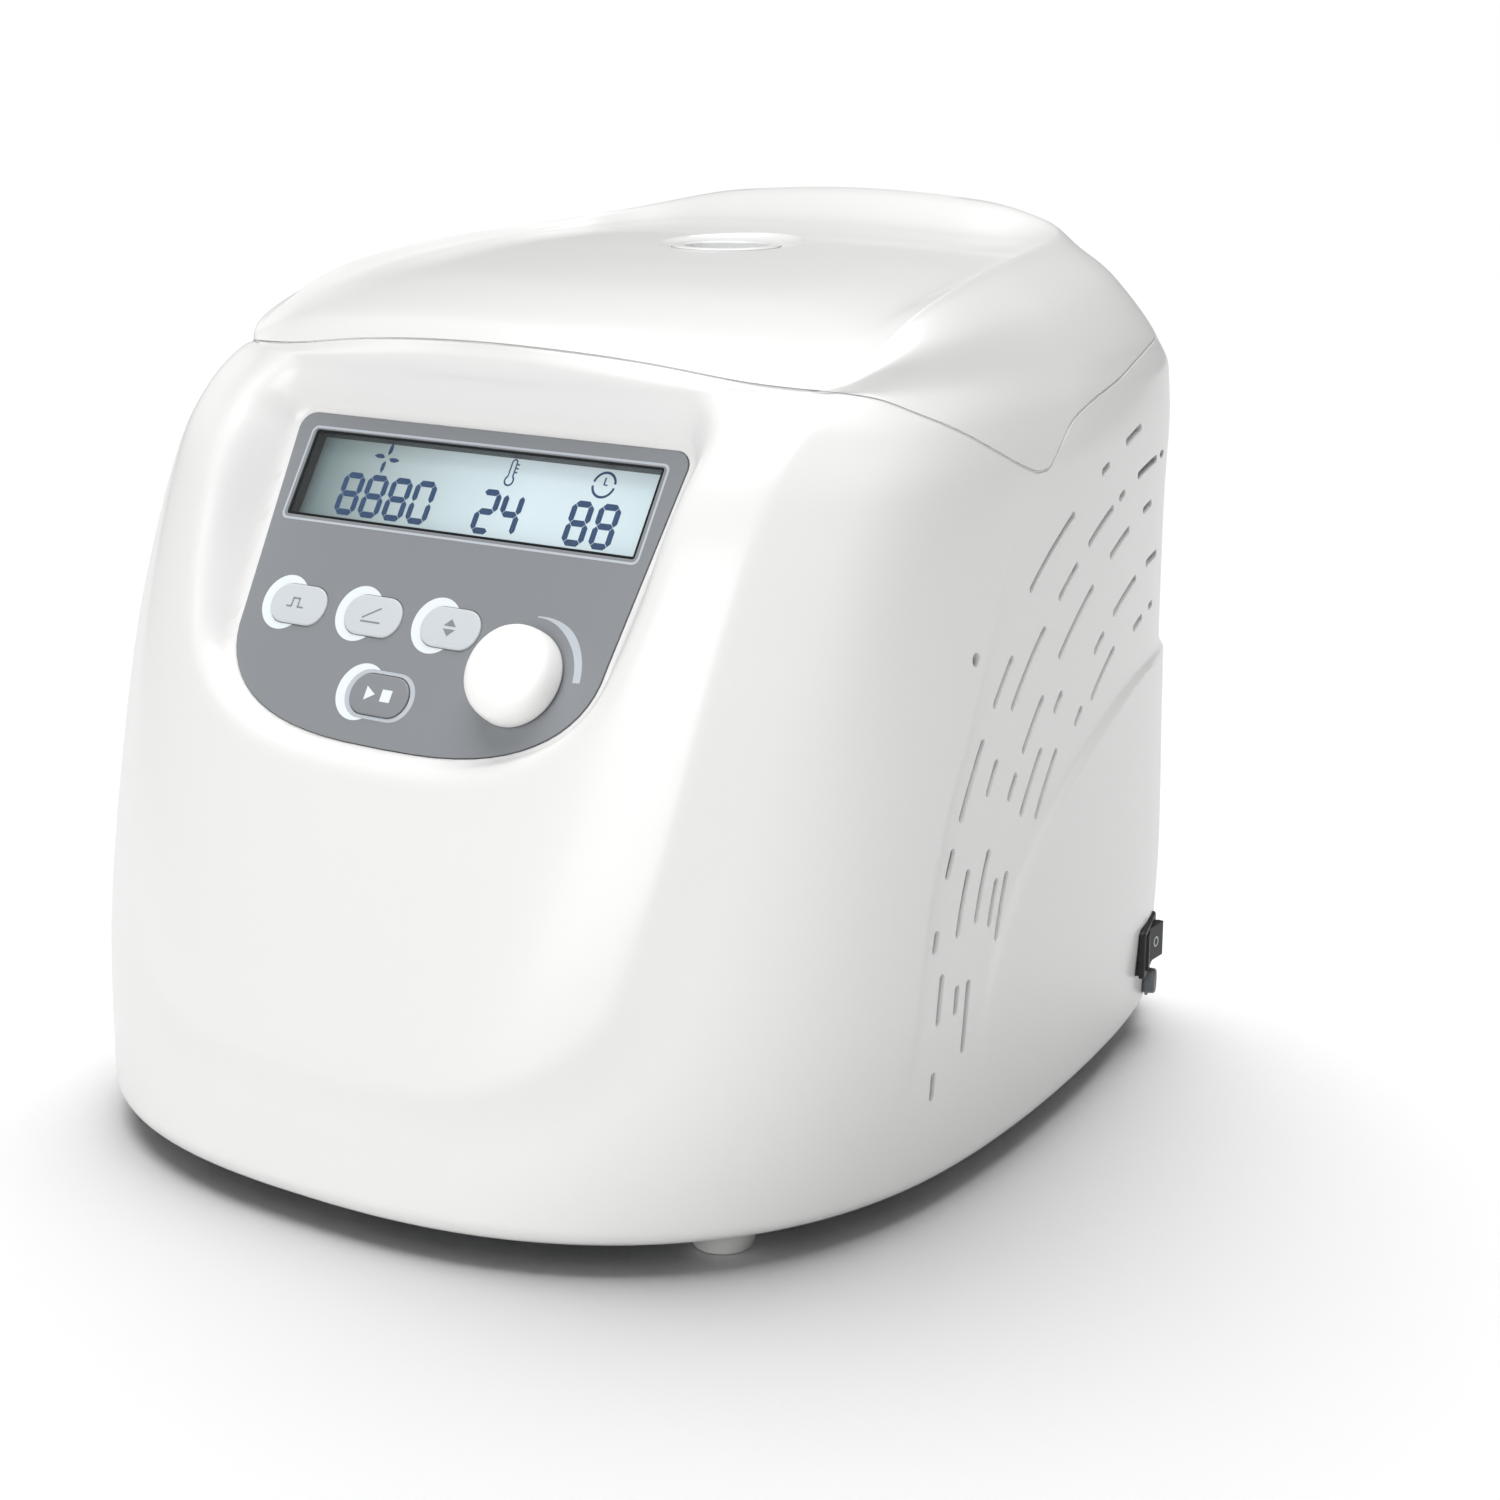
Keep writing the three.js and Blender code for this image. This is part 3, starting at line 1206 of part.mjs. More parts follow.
function fuseHolder() {
  const r = fuse.radius;
  const low = clearance * 3;
  const profile = [[0, -fuse.body], [fuse.body_radius, -fuse.body], [fuse.body_radius, low], [r, low],
    [r, fuse.reach - clearance * 3], [r * 0.8, fuse.reach], [0, fuse.reach]];
  return turned(profile, 20).transform(fuse_frame.toArray());
}

// Circuit boards on the base

function circuitBoard(side) {
  const floor = body.floor + base_plate.edge_gap + base_plate.thickness + clearance;
  const x = side * boards.x;
  const half = boards.width / 2;
  const y0 = boards.y - boards.length / 2;
  const y1 = boards.y + boards.length / 2;
  const z = floor + boards.stand;
  let shape = block(x - half, x + half, y0, y1, z, z + boards.thickness);
  const inset = boards.stand_radius * 1.5;
  for (const px of [x - half + inset, x + half - inset]) {
    for (const py of [y0 + inset, y1 - inset]) shape = shape.add(rod(boards.stand_radius, floor, z + clearance, px, py, 12));
  }
  const tall = boards.stand * 2;
  shape = shape.add(block(x - half / 2, x + half / 2, y0 + tall, boards.y, z + clearance, z + tall * 1.6));
  return shape.add(rod(boards.stand_radius * 2.6, z + clearance, z + tall * 2, x, boards.y + boards.length / 4, 20));
}

// Assembly

const group = new THREE.Group();
const f = finishes;

group.add(part('housing_shell', housing(), f.white));
group.add(part('base_plate', basePlate(), f.steel));
for (const [name, x, y] of [
  ['foot_front_left', -foot.front_x, foot.front_y], ['foot_front_right', foot.front_x, foot.front_y],
  ['foot_rear_left', -foot.rear_x, foot.rear_y], ['foot_rear_right', foot.rear_x, foot.rear_y],
]) {
  group.add(part(name, footPiece(x, y), f.soft_white));
}
group.add(part('rear_plate', rearPlate(), f.steel));
group.add(part('power_inlet', powerInlet(), f.black));
group.add(part('fuse_holder', fuseHolder(), f.grey));
group.add(part('switch_frame', switchBody(), f.black));
group.add(part('power_rocker', powerRocker(), f.black));

group.add(part('panel_overlay', overlay(), f.panel));
group.add(part('display_window', facetPrism(displayRect(0), -display.window, 0), f.clear));
group.add(part('display_module', displayModule(), f.display));
group.add(part('control_board', board(), f.board));
for (const entry of keys) group.add(part(entry.name, keyCap(entry), f.key));
group.add(part('encoder', encoderBody(), f.grey));
group.add(part('encoder_shaft', encoderShaft(), f.bright));
group.add(part('speed_knob', knobBody(), f.white));

group.add(part('rotor_bowl', bowlBody(), f.bright));
group.add(part('bowl_gasket', gasketRing(), f.rubber));
group.add(part('motor', motorBody(), f.black));
group.add(part('motor_mount', motorMount(), f.steel));
group.add(part('motor_stand', motorStand(), f.steel));
damper_turns.forEach((turn, i) => group.add(part(`damper_${i + 1}`, damper(turn), f.rubber)));
group.add(part('motor_shaft', motorShaft(), f.bright));
group.add(part('rotor', rotorBody(), f.rotor));
group.add(part('rotor_lid', rotorLid(), f.bright));
group.add(part('rotor_nut', rotorNut(), f.black));

group.add(part('lid_cover', lidCover(), f.white));
group.add(part('lid_liner', lidLiner(), f.white));
group.add(part('window_ring', windowRing(), f.white));
group.add(part('sight_window', sightWindow(), f.clear));
group.add(part('sight_tube', sightTube(), f.grey));
group.add(part('lid_striker', strikerPlate(), f.bright));
for (const [name, side] of [['left', -1], ['right', 1]]) {
  group.add(part(`hinge_base_${name}`, hingeBase(side), f.steel));
  group.add(part(`hinge_pin_${name}`, hingePin(side), f.bright));
  group.add(part(`hinge_leaf_${name}`, hingeLeaf(side), f.steel));
}
group.add(part('lock_frame', lockFrame(), f.steel));
group.add(part('lock_bolt', boltShape(0, 0), f.bright));
group.add(part('lock_solenoid', solenoidBody(), f.black));
group.add(part('power_board', circuitBoard(1), f.board));
group.add(part('drive_board', circuitBoard(-1), f.board));

export default group;
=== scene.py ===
from math import cos, hypot, pi, radians, sin
import bpy
import bmesh
import numpy as np
from mathutils import Matrix, Vector
from mathutils.bvhtree import BVHTree


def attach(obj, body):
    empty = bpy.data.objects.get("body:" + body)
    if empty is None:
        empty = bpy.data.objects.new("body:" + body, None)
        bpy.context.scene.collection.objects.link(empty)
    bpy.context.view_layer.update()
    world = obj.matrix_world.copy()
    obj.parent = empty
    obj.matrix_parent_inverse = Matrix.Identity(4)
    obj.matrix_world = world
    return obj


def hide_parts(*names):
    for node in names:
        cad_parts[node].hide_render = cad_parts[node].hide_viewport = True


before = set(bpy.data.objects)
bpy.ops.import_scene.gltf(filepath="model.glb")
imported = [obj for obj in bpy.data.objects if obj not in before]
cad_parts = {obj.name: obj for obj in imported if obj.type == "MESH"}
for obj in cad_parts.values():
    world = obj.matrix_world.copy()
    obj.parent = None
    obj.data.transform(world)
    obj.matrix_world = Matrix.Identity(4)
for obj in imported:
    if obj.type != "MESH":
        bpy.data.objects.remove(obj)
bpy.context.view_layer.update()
scene = bpy.context.scene
MM = 0.001

# ---- sizes in millimetres, as in the solids, but for SEAM, which is 0.8 there
HALF_W, HALF_D, HEIGHT, SHOULDER, FLOOR, WALL = 143.0, 155.0, 268.0, 226.0, 8.0, 3.0
SEAM = 0.85
EDGE_DROP, EDGE_IN = 4.0, 3.0     # the rounded edge under the walls
MID_Y = 24.0                      # the lid's middle, which its rings close in on
SPINDLE_Y = 52.0
FACET_Y, FACET_Z, LEAN = -81.8, 182.8, radians(32)

# the wall's outline by height, in shares of SHOULDER, HALF_W and HALF_D:
# height, half width, front, widest y, back, rear taper, fullness of the front curve
WALL_SHARES = [
    [0.035, 0.979, -1.0078, -0.155, 1.0, 0.2, 2.4],
    [0.265, 1.0, -0.903, -0.077, 1.0, 0.205, 3.0],
    [0.487, 0.99, -0.8, 0.006, 1.0, 0.21, 3.55],
    [0.708, 0.965, -0.687, 0.097, 1.0, 0.2, 4.2],
    [0.885, 0.937, -0.574, 0.2, 1.0, 0.18, 4.5],
    [0.956, 0.909, -0.514, 0.256, 1.0, 0.163, 4.1],
    [1.0, 0.878, -0.452, 0.31, 0.957, 0.15, 3.7],
]
# where the rings' stations lie: degrees round the front, shares along the side, shares across the back
TURNS = [0, 11, 22, 31, 38, 45, 52, 60, 70, 80, 90]
SIDES = [0, 0.16, 0.32, 0.48, 0.62, 0.75, 0.85, 0.92, 0.965, 0.992]
BACKS = [0.774, 0.7, 0.45, 0.22, 0]
# the lid's ridge and the rim of its top, by station: x, y and, for the ridge, z, in shares
RIDGE = [
    [0, 0, -0.426, 0.877], [4, 0.688, -0.331, 0.849], [5, 0.745, -0.297, 0.856], [6, 0.766, -0.245, 0.874],
    [8, 0.759, -0.039, 0.92], [10, 0.713, 0.245, 0.944], [12, 0.664, 0.49, 0.953], [14, 0.608, 0.69, 0.962],
    [16, 0.517, 0.787, 0.974], [19, 0.329, 0.823, 0.992], [23, 0, 0.829, 1.0],
]
RIM = [
    [0, 0, -0.361], [4, 0.629, -0.271], [6, 0.685, -0.194], [8, 0.689, -0.026], [10, 0.671, 0.245],
    [12, 0.643, 0.465], [14, 0.587, 0.587], [16, 0.483, 0.594], [19, 0.294, 0.548], [23, 0, 0.523],
]
# the lid's top by y: its height in the middle, and how far it falls towards the sides
TOP = [
    [-0.45, 0.882, 0.05], [-0.26, 0.9125, 0.036], [-0.13, 0.9285, 0.026], [0, 0.9366, 0.0187],
    [0.155, 0.944, 0.015], [0.335, 0.9515, 0.0134], [0.523, 0.957, 0.015],
]
# the seam's height by y
SEAM_LINE = [
    [-0.7, 0.925], [-0.428, 0.877], [-0.392, 0.868], [-0.355, 0.852], [-0.33, 0.848], [-0.3, 0.8445], [-0.26, 0.8385],
    [-0.203, 0.8217], [-0.125, 0.8005], [-0.032, 0.774], [0.05, 0.7535], [0.095, 0.7462], [0.125, 0.7465],
    [0.155, 0.756], [0.2, 0.774], [0.245, 0.789], [0.349, 0.8045], [0.481, 0.8164], [0.619, 0.83], [0.783, 0.841],
    [0.87, 0.8433], [1.3, 0.8433],
]
# the front shield's edge: number, x and z
SHIELD = [
    [0, 0, 0.186], [1, 0.3, 0.196], [2, 0.42, 0.216], [3, 0.53, 0.252], [4, 0.61, 0.305], [5, 0.65, 0.4],
    [6, 0.68, 0.52], [7, 0.7, 0.65], [8, 0.725, 0.83], [9, 0.75, 1.05],
]
# the crescent's front edge on the side, y by height
CREASE = [
    [0.0, -0.42], [0.13, -0.4], [0.25, -0.37], [0.39, -0.33], [0.53, -0.25], [0.61, -0.18], [0.7, -0.11],
    [0.83, -0.02], [1.1, 0.1],
]
# vent slots: radius about VENT_Y, VENT_Z, then the angles in degrees where each slot starts and ends
VENTS = [
    (175, [(77, 81.5), (70, 71.4), (52, 62.3)]), (170, [(40, 45), (28.5, 36), (23, 25.2), (16, 17.5)]),
    (165, [(9.1, 13.4), (1.7, 3.8)]),
    (161, [(90, 91.2), (80.3, 87.5), (73.8, 75), (64.2, 71.2), (55.6, 60.4), (41.5, 51)]),
    (160, [(32.2, 35.4), (17.7, 23.9)]), (157, [(9.9, 12.2)]), (151.5, [(19.5, 26.7), (5.6, 12.7)]),
    (148, [(82.4, 85.7), (69.2, 75.8), (51.6, 62.6), (39, 45.5), (33.3, 35.8)]), (144, [(19.3, 24)]),
    (139, [(46.5, 48.8), (32.8, 40.7), (17.9, 25.2)]),
    (130, [(83.7, 89.6), (67.8, 77.6), (59.6, 62.9), (33.8, 42.8)]), (124, [(49.2, 51.5)]),
    (120, [(55.4, 65.6)]), (115, [(85.3, 87), (75.8, 80)]),
]
VENT_Y, VENT_Z = 115.0, 30.0


# ---- small tools
def curve(rows, t):
    """Smooth values of a table at t, without overshoot; the first column is the key."""
    rows = np.asarray(rows, float)
    x, y = rows[:, 0], rows[:, 1:]
    d = np.diff(y, axis=0) / np.diff(x)[:, None]
    m = np.empty_like(y)
    m[0], m[-1] = d[0], d[-1]
    a, b = d[:-1], d[1:]
    total = np.where(a + b == 0, 1, a + b)
    m[1:-1] = np.where(a * b <= 0, 0, 2 * a * b / total)
    t = np.clip(np.asarray(t, float), x[0], x[-1])
    i = np.clip(np.searchsorted(x, t, side="right") - 1, 0, len(x) - 2)
    h = (x[i + 1] - x[i])[..., None]
    u = ((t - x[i])[..., None]) / h
    ease = u * u * (3 - 2 * u)
    return (y[i] + (y[i + 1] - y[i]) * ease + u * (1 - u) ** 2 * h * m[i] + u * u * (u - 1) * h * m[i + 1])


def smooth(x, a, b):
    """0 up to a, 1 from b, eased between."""
    t = np.clip((np.asarray(x, float) - a) / (b - a), 0, 1)
    return t * t * (3 - 2 * t)


def resample(points, keys, count):
    """count points along a dense polyline at even arc lengths, with keys carried along."""
    step = np.linalg.norm(np.diff(points, axis=0), axis=1)
    s = np.concatenate([[0], np.cumsum(step)]) / step.sum()
    at = np.linspace(0.0, 1.0, count)
    return np.stack([np.interp(at, s, points[:, c]) for c in range(points.shape[1])], 1), np.interp(at, s, keys)


FRONT_N, SIDE_N, CORNER_N, BACK_N = 156, 64, 22, 14     # points round half a ring


def wall_half(z, inset=0.0, detail=1.0):
    """Half outline at one height from front middle to back middle: points x, y and the station of each."""
    wide, front, widest, back, taper, full = curve(WALL_SHARES, z / SHOULDER)
    w = wide * HALF_W - inset
    yf, yw, yb = front * HALF_D + inset, widest * HALF_D, back * HALF_D - inset
    a = np.linspace(0, 1, 700) ** 2 * pi / 2
    p = np.stack([w * np.sin(a) ** (2 / full), yw - (yw - yf) * np.abs(np.cos(a)) ** (2 / full)], 1)
    p[-1] = (w, yw)
    n = max(8, int(FRONT_N * detail))
    f, ka = resample(p, a, n)
    tf = curve([[radians(v), i] for i, v in enumerate(TURNS)], ka)[:, 0]
    s = np.linspace(0, 0.992, 500)
    q = np.stack([w * (1 - taper * s ** 1.7) * (1 - s ** 10) ** 0.1, yw + (yb - yw) * s], 1)
    r = np.linspace(0.774, 0, 200)
    sr = (1 - r ** 10) ** 0.1
    qb = np.stack([w * (1 - taper * sr ** 1.7) * r, yw + (yb - yw) * sr], 1)
    g, ks = resample(q[:380], s[:380], max(5, int(SIDE_N * detail)))
    c, kc = resample(q[379:], s[379:], max(4, int(CORNER_N * detail)))
    h, kr = resample(qb, r, max(4, int(BACK_N * detail)))
    back_station = [[1 - v, 19 + i] for i, v in enumerate(BACKS)]
    side_station = [[v, 10 + i] for i, v in enumerate(SIDES)]
    ts = curve(side_station, np.concatenate([ks[1:], kc[1:]]))[:, 0]
    tb = curve(back_station, 1 - kr[1:])[:, 0]
    xy = np.concatenate([f, g[1:], c[1:], h[1:]])
    xy[-1, 0] = 0
    return xy, np.concatenate([tf, ts, tb])


def lid_top(x, y):
    v = curve(TOP, y / HALF_D)
    return HEIGHT * (v[..., 0] - v[..., 1] * (x / (0.68 * HALF_W)) ** 2)


def seam_z(y):
    return HEIGHT * curve(SEAM_LINE, np.asarray(y, float) / HALF_D)[..., 0]


def with_z(xy, z):
    return np.concatenate([xy, np.full((len(xy), 1), float(z))], 1)


def mirrored(half):
    other = half[1:-1][::-1] * np.array([-1, 1, 1])
    return np.concatenate([half, other])


def spread(p, out, up):
    """Points moved by out, away from the upright line at MID_Y, and up."""
    reach = np.maximum(np.hypot(p[:, 0], p[:, 1] - MID_Y), 1)
    grow = 1 + out / reach
    return np.stack([p[:, 0] * grow, MID_Y + (p[:, 1] - MID_Y) * grow, p[:, 2] + up], 1)


def drawn_in(p, inset):
    return spread(p, -inset, -inset) if inset else p


def across_middle(rows):
    """The table carried on past its first and last row, which lie on the middle plane, by mirror images."""
    end = rows[-1][0]
    before = [[-r[0], -r[1], *r[2:]] for r in rows[2:0:-1]]
    after = [[2 * end - r[0], -r[1], *r[2:]] for r in rows[-2:-4:-1]]
    return before + rows + after


def lid_controls(t, foot):
    """The lid's rings at stations t, from the cheek above the wall's foot ring to the middle of the top."""
    ridge = curve(across_middle(RIDGE), t) * np.array([HALF_W, HALF_D, HEIGHT])
    rim = curve(across_middle(RIM), t) * np.array([HALF_W, HALF_D])
    rim = np.concatenate([rim, lid_top(rim[:, 0], rim[:, 1])[:, None]], 1)
    bulge = 0.022 * HALF_W * smooth(t, 4, 7)
    cheek = spread((foot + ridge) / 2, bulge, bulge / 2)
    slope = (ridge + rim) / 2
    slope[:, 2] -= 0.011 * HEIGHT * smooth(t, 14, 17)
    near = (0.16 + 0.3 * smooth(t, 11, 16) + 0.25 * (1 - smooth(t, 3, 6.5)))[:, None]
    rings = [cheek, ridge + (cheek - ridge) * near, ridge, ridge + (slope - ridge) * near, slope, rim]
    for share in (0.66, 0.28, 0.03):
        x, y = rim[:, 0] * share, MID_Y + (rim[:, 1] - MID_Y) * share
        rings.append(np.stack([x, y, lid_top(x, y)], 1))
    return rings


def through(controls, counts):
    """Rows of points on smooth curves through rows of controls; counts of steps after each control but the ends."""
    rows = []
    for k, n in enumerate(counts):
        p0, p1, p2, p3 = controls[k:k + 4]
        d0, d1, d2 = (np.sqrt(np.linalg.norm(b - a, axis=1))[:, None] + 1e-6 for a, b in ((p0, p1), (p1, p2), (p2, p3)))
        m1 = (p1 - p0) / d0 - (p2 - p0) / (d0 + d1) + (p2 - p1) / d1
        m2 = (p2 - p1) / d1 - (p3 - p1) / (d1 + d2) + (p3 - p2) / d2
        for j in range(n):
            u = j / n
            rows.append(p1 * (2 * u ** 3 - 3 * u ** 2 + 1) + m1 * d1 * (u ** 3 - 2 * u ** 2 + u)
                        + p2 * (3 * u ** 2 - 2 * u ** 3) + m2 * d1 * (u ** 3 - u ** 2))
    return rows


# ---- the facet's own frame
S_DIR = np.array([0, sin(LEAN), cos(LEAN)])
N_DIR = np.array([0, -cos(LEAN), sin(LEAN)])
FACET = Matrix(((1, 0, 0, 0), (0, S_DIR[1], N_DIR[1], FACET_Y), (0, S_DIR[2], N_DIR[2], FACET_Z), (0, 0, 0, 1)))


def arc(x, y, r, a0, a1, n):
    """n + 1 points on a circle from a0 to a1 degrees."""
    turns = [radians(a0 + (a1 - a0) * i / n) for i in range(n + 1)]
    return [(x + r * cos(a), y + r * sin(a)) for a in turns]


def circle(x, y, r, n=64):
    return [(x + r * cos(2 * pi * i / n), y + r * sin(2 * pi * i / n)) for i in range(n)]


def rect(x0, x1, y0, y1, r=0.0, steps=6):
    """A rectangle, its corners rounded by r."""
    if not r:
        return [(x0, y0), (x1, y0), (x1, y1), (x0, y1)]
    corners = ((x1 - r, y0 + r, -90), (x1 - r, y1 - r, 0), (x0 + r, y1 - r, 90), (x0 + r, y0 + r, 180))
    return [p for x, y, a in corners for p in arc(x, y, r, a, a + 90, steps)]


def oblong(x, y, w, h, steps=16):
    """A bar with round ends about x, y."""
    r = h / 2
    return [p for side, a in ((1, -90), (-1, 90)) for p in arc(x + side * (w / 2 - r), y, r, a, a + 180, steps)]


def panel_outline(side=0.0, steps=16):
    """The panel's outline on the facet, widened by side."""
    half_top, half_waist, head, foot, corner = 71 + side, 66.5 + side, 32 + side, -64.6 - side, 5 + side / 2
    waist = -32
    right = []
    for i in range(steps + 1):
        a = radians(-90 + 90 * i / steps)
        right.append((half_waist * cos(a) ** 0.72, waist - (waist - foot) * (-sin(a)) ** 0.9))
    right += arc(half_top - corner, head - corner, corner, 0, 90, 5)
    return right + [(-x, y) for x, y in right[:0:-1]]


def outline_distance(x, y, outline):
    """Distance of points from a closed outline, positive outside it."""
    q = np.asarray(outline, float)
    best = np.full(x.shape, 1e9)
    inside = np.zeros(x.shape, bool)
    for (ax, ay), (bx, by) in zip(q, np.roll(q, -1, axis=0)):
        dx, dy = bx - ax, by - ay
        u = np.clip(((x - ax) * dx + (y - ay) * dy) / (dx * dx + dy * dy + 1e-12), 0, 1)
        best = np.minimum(best, np.hypot(x - ax - u * dx, y - ay - u * dy))
        if ay != by:
            inside ^= ((ay > y) != (by > y)) & (x < (bx - ax) * (y - ay) / (by - ay) + ax)
    return np.where(inside, -best, best)


# ---- the outer skin, walls and lid, as one fine surface
def skin_rows(inset=0.0, detail=1.0, rows_per_wall=150):
    """Half rings from the lower edge up to the middle of the lid."""
    rows = []
    for i in range(6):
        a = radians(90 * i / 5)
        xy = wall_half(FLOOR + EDGE_DROP * sin(a), inset + EDGE_IN * (1 - sin(a)), detail)[0]
        rows.append(with_z(xy, FLOOR + EDGE_DROP * (1 - cos(a))))
    for z in np.linspace(FLOOR + EDGE_DROP, SHOULDER, rows_per_wall)[1:-1]:
        rows.append(with_z(wall_half(z, inset, detail)[0], z))
    xy, t = wall_half(SHOULDER, inset, detail)
    foot = with_z(xy, SHOULDER)
    below = with_z(wall_half(212, inset, detail)[0], 212)
    outer_foot = with_z(wall_half(SHOULDER, 0, detail)[0], SHOULDER)
    rings = [drawn_in(r, inset) for r in lid_controls(t, outer_foot)]
    controls = [below, foot] + rings
    controls.append(controls[-1] + (controls[-1] - controls[-2]) * 0.1)
    steps = [9, 9, 6, 3, 3, 6, 9, 9, 6] if detail == 1.0 else [3, 3, 2, 1, 1, 2, 3, 2, 1]
    return rows + through(controls, steps) + [rings[-1]]


COARSE = {"detail": 0.4, "rows_per_wall": 12}     # enough for rooms and hollows


def skin_grid(inset=0.0, **fineness):
    """The skin, drawn in by inset, as a grid closed round its second axis."""
    return np.array([mirrored(r) for r in skin_rows(inset, **fineness)])


def grid_normals(g):
    """Normals of a grid of points closed round its second axis."""
    du = np.roll(g, -1, axis=1) - np.roll(g, 1, axis=1)
    dv = np.empty_like(g)
    dv[1:-1] = g[2:] - g[:-2]
    dv[0], dv[-1] = g[1] - g[0], g[-1] - g[-2]
    n = np.cross(du, dv)
    return n / np.maximum(np.linalg.norm(n, axis=2, keepdims=True), 1e-9)


def blurred(a, steps, axis):
    """A bell-weighted mean over neighbours: round the rings (axis 1) or up the rows (axis 0)."""
    reach = int(3 * steps)
    weights = np.exp(-0.5 * (np.arange(-reach, reach + 1) / steps) ** 2)
    weights /= weights.sum()
    pad = [(0, 0)] * a.ndim
    pad[axis] = (reach, reach)
    p = np.pad(a, pad, mode="wrap" if axis == 1 else "edge")
    n = a.shape[axis]
    return sum(w * (p[:, k:k + n] if axis == 1 else p[k:k + n]) for k, w in enumerate(weights))


def with_shield(g, n):
    """Raises the front shield, which fades out past its edge and towards the lid."""
    proud, fade, fade_high = 3.2, 18, 14
    x, y, z = g[..., 0], g[..., 1], g[..., 2]
    right = curve(SHIELD, np.linspace(0, 9, 60)) * np.array([HALF_W, SHOULDER])
    outline = np.concatenate([right, right[:0:-1] * np.array([-1, 1])])
    near = (y < -15) & (z < 244)
    d = np.full(x.shape, 1e3)
    d[near] = outline_distance(x[near], z[near], outline)
    beyond = (d + np.sqrt(d * d + 4)) / 2
    high = smooth(z, 190, 224)
    lift = proud * np.clip(1 - beyond / fade, 0, 1) ** 2
    lift = lift * (1 - high + high * np.clip(1 + np.minimum(d, 0) / fade_high, 0, 1) ** 2)
    g += n * np.where(near, lift * (1 - smooth(z, 222, 231)), 0)[..., None]


def with_crescents(g, n):
    """Sinks the vented crescent of each side, deeper below than above."""
    deep_low, deep_high = 1.8, 0.8
    centre_y, centre_z, half_long, tall = 115, 40, 141, 87
    x, y, z = g[..., 0], g[..., 1], g[..., 2]
    behind = (y - curve(CREASE, z / SHOULDER)[..., 0] * HALF_D) * 0.92
    e = np.hypot((y - centre_y) / half_long, (z - centre_z) / tall)
    above = np.where(z > centre_z, (e - 1) * 100, (np.abs(y - centre_y) / half_long - 1) * 100)
    above = np.where((y > centre_y) & (z > centre_z), (z - centre_z) - tall, above)
    depth = deep_low + (deep_high - deep_low) * smooth(z, 100, 190)
    zone = smooth(behind, -1.6, 1.6) * smooth(above, -1.4, 1.4) * depth * smooth(np.abs(x), 60, 80)
    zone *= (1 - smooth(z, 176, 204)) * smooth(z, 26, 92)
    g -= n * zone[..., None]


def with_scoop(g):
    """Presses the skin down to the facet round the panel, and eases the scoop's rim."""
    floor_under = -0.45
    y, z = g[..., 1], g[..., 2]
    s = (y - FACET_Y) * S_DIR[1] + (z - FACET_Z) * S_DIR[2]
    h = (y - FACET_Y) * N_DIR[1] + (z - FACET_Z) * N_DIR[2]
    near = (y < -40) & (z > 100) & (h > -3)
    d = np.full(s.shape, 1e3)
    d[near] = outline_distance(g[..., 0][near], s[near], panel_outline(0.6))
    margin = 6 + 8 * smooth(s, -62, -10) + 2 * smooth(s, 20, 40)
    pressed = floor_under + (h - floor_under) * smooth(d / margin, 0.02, 1.0)
    move = np.where(near & (h > floor_under), pressed - h, 0)
    eased = blurred(blurred(move, 1.6, 1), 1.6, 0)
    outside = smooth(d, 1.5, 5)
    g += (move * (1 - outside) + eased * outside)[..., None] * N_DIR


def dressed(g):
    """The skin with its shield, its vented sides and the scoop round the facet."""
    soft = smooth(g[..., 2], 228, 242)[..., None]
    g = g * (1 - soft) + blurred(g, 3.0, 1) * soft
    n = grid_normals(g)
    with_shield(g, n)
    with_crescents(g, n)
    with_scoop(g)
    return g


def link(name, data):
    o = bpy.data.objects.new(name, data)
    scene.collection.objects.link(o)
    return o


def from_faces(name, points, faces):
    """points are in metres, faces are numbers of points."""
    mesh = bpy.data.meshes.new(name)
    mesh.from_pydata(points, [], faces)
    mesh.update()
    return link(name, mesh)


def from_bm(name, bm, matrix=None):
    """An object of bm with its faces turned outwards, placed by matrix."""
    bmesh.ops.recalc_face_normals(bm, faces=bm.faces)
    mesh = bpy.data.meshes.new(name)
    bm.to_mesh(mesh)
    bm.free()
    return place(link(name, mesh), matrix)


def outward(o):
    """o with its faces turned outwards."""
    bm = bmesh.new()
    bm.from_mesh(o.data)
    bmesh.ops.recalc_face_normals(bm, faces=bm.faces)
    bm.to_mesh(o.data)
    bm.free()
    return o


def place(o, matrix):
    """o moved by matrix, which is in millimetres, if there is one."""
    if matrix:
        m = matrix.copy()
        m.translation = m.translation * MM
        o.data.transform(m)
    return o


def grid_object(name, g):
    """A grid of points in millimetres, closed round its second axis and capped at both ends."""
    rows, cols = g.shape[:2]
    a = np.arange(cols)
    b = (a + 1) % cols
    base = (np.arange(rows - 1) * cols)[:, None]
    faces = np.stack([base + a, base + b, base + cols + b, base + cols + a], -1).reshape(-1, 4).tolist()
    for middle, ring, flip in ((rows * cols, 0, True), (rows * cols + 1, (rows - 1) * cols, False)):
        for i in range(cols):
            j = (i + 1) % cols
            faces.append((middle, ring + (j if flip else i), ring + (i if flip else j)))
    points = np.concatenate([g.reshape(-1, 3) * MM, np.array([g[0].mean(0) * MM, g[-1].mean(0) * MM])])
    return from_faces(name, points.tolist(), faces)


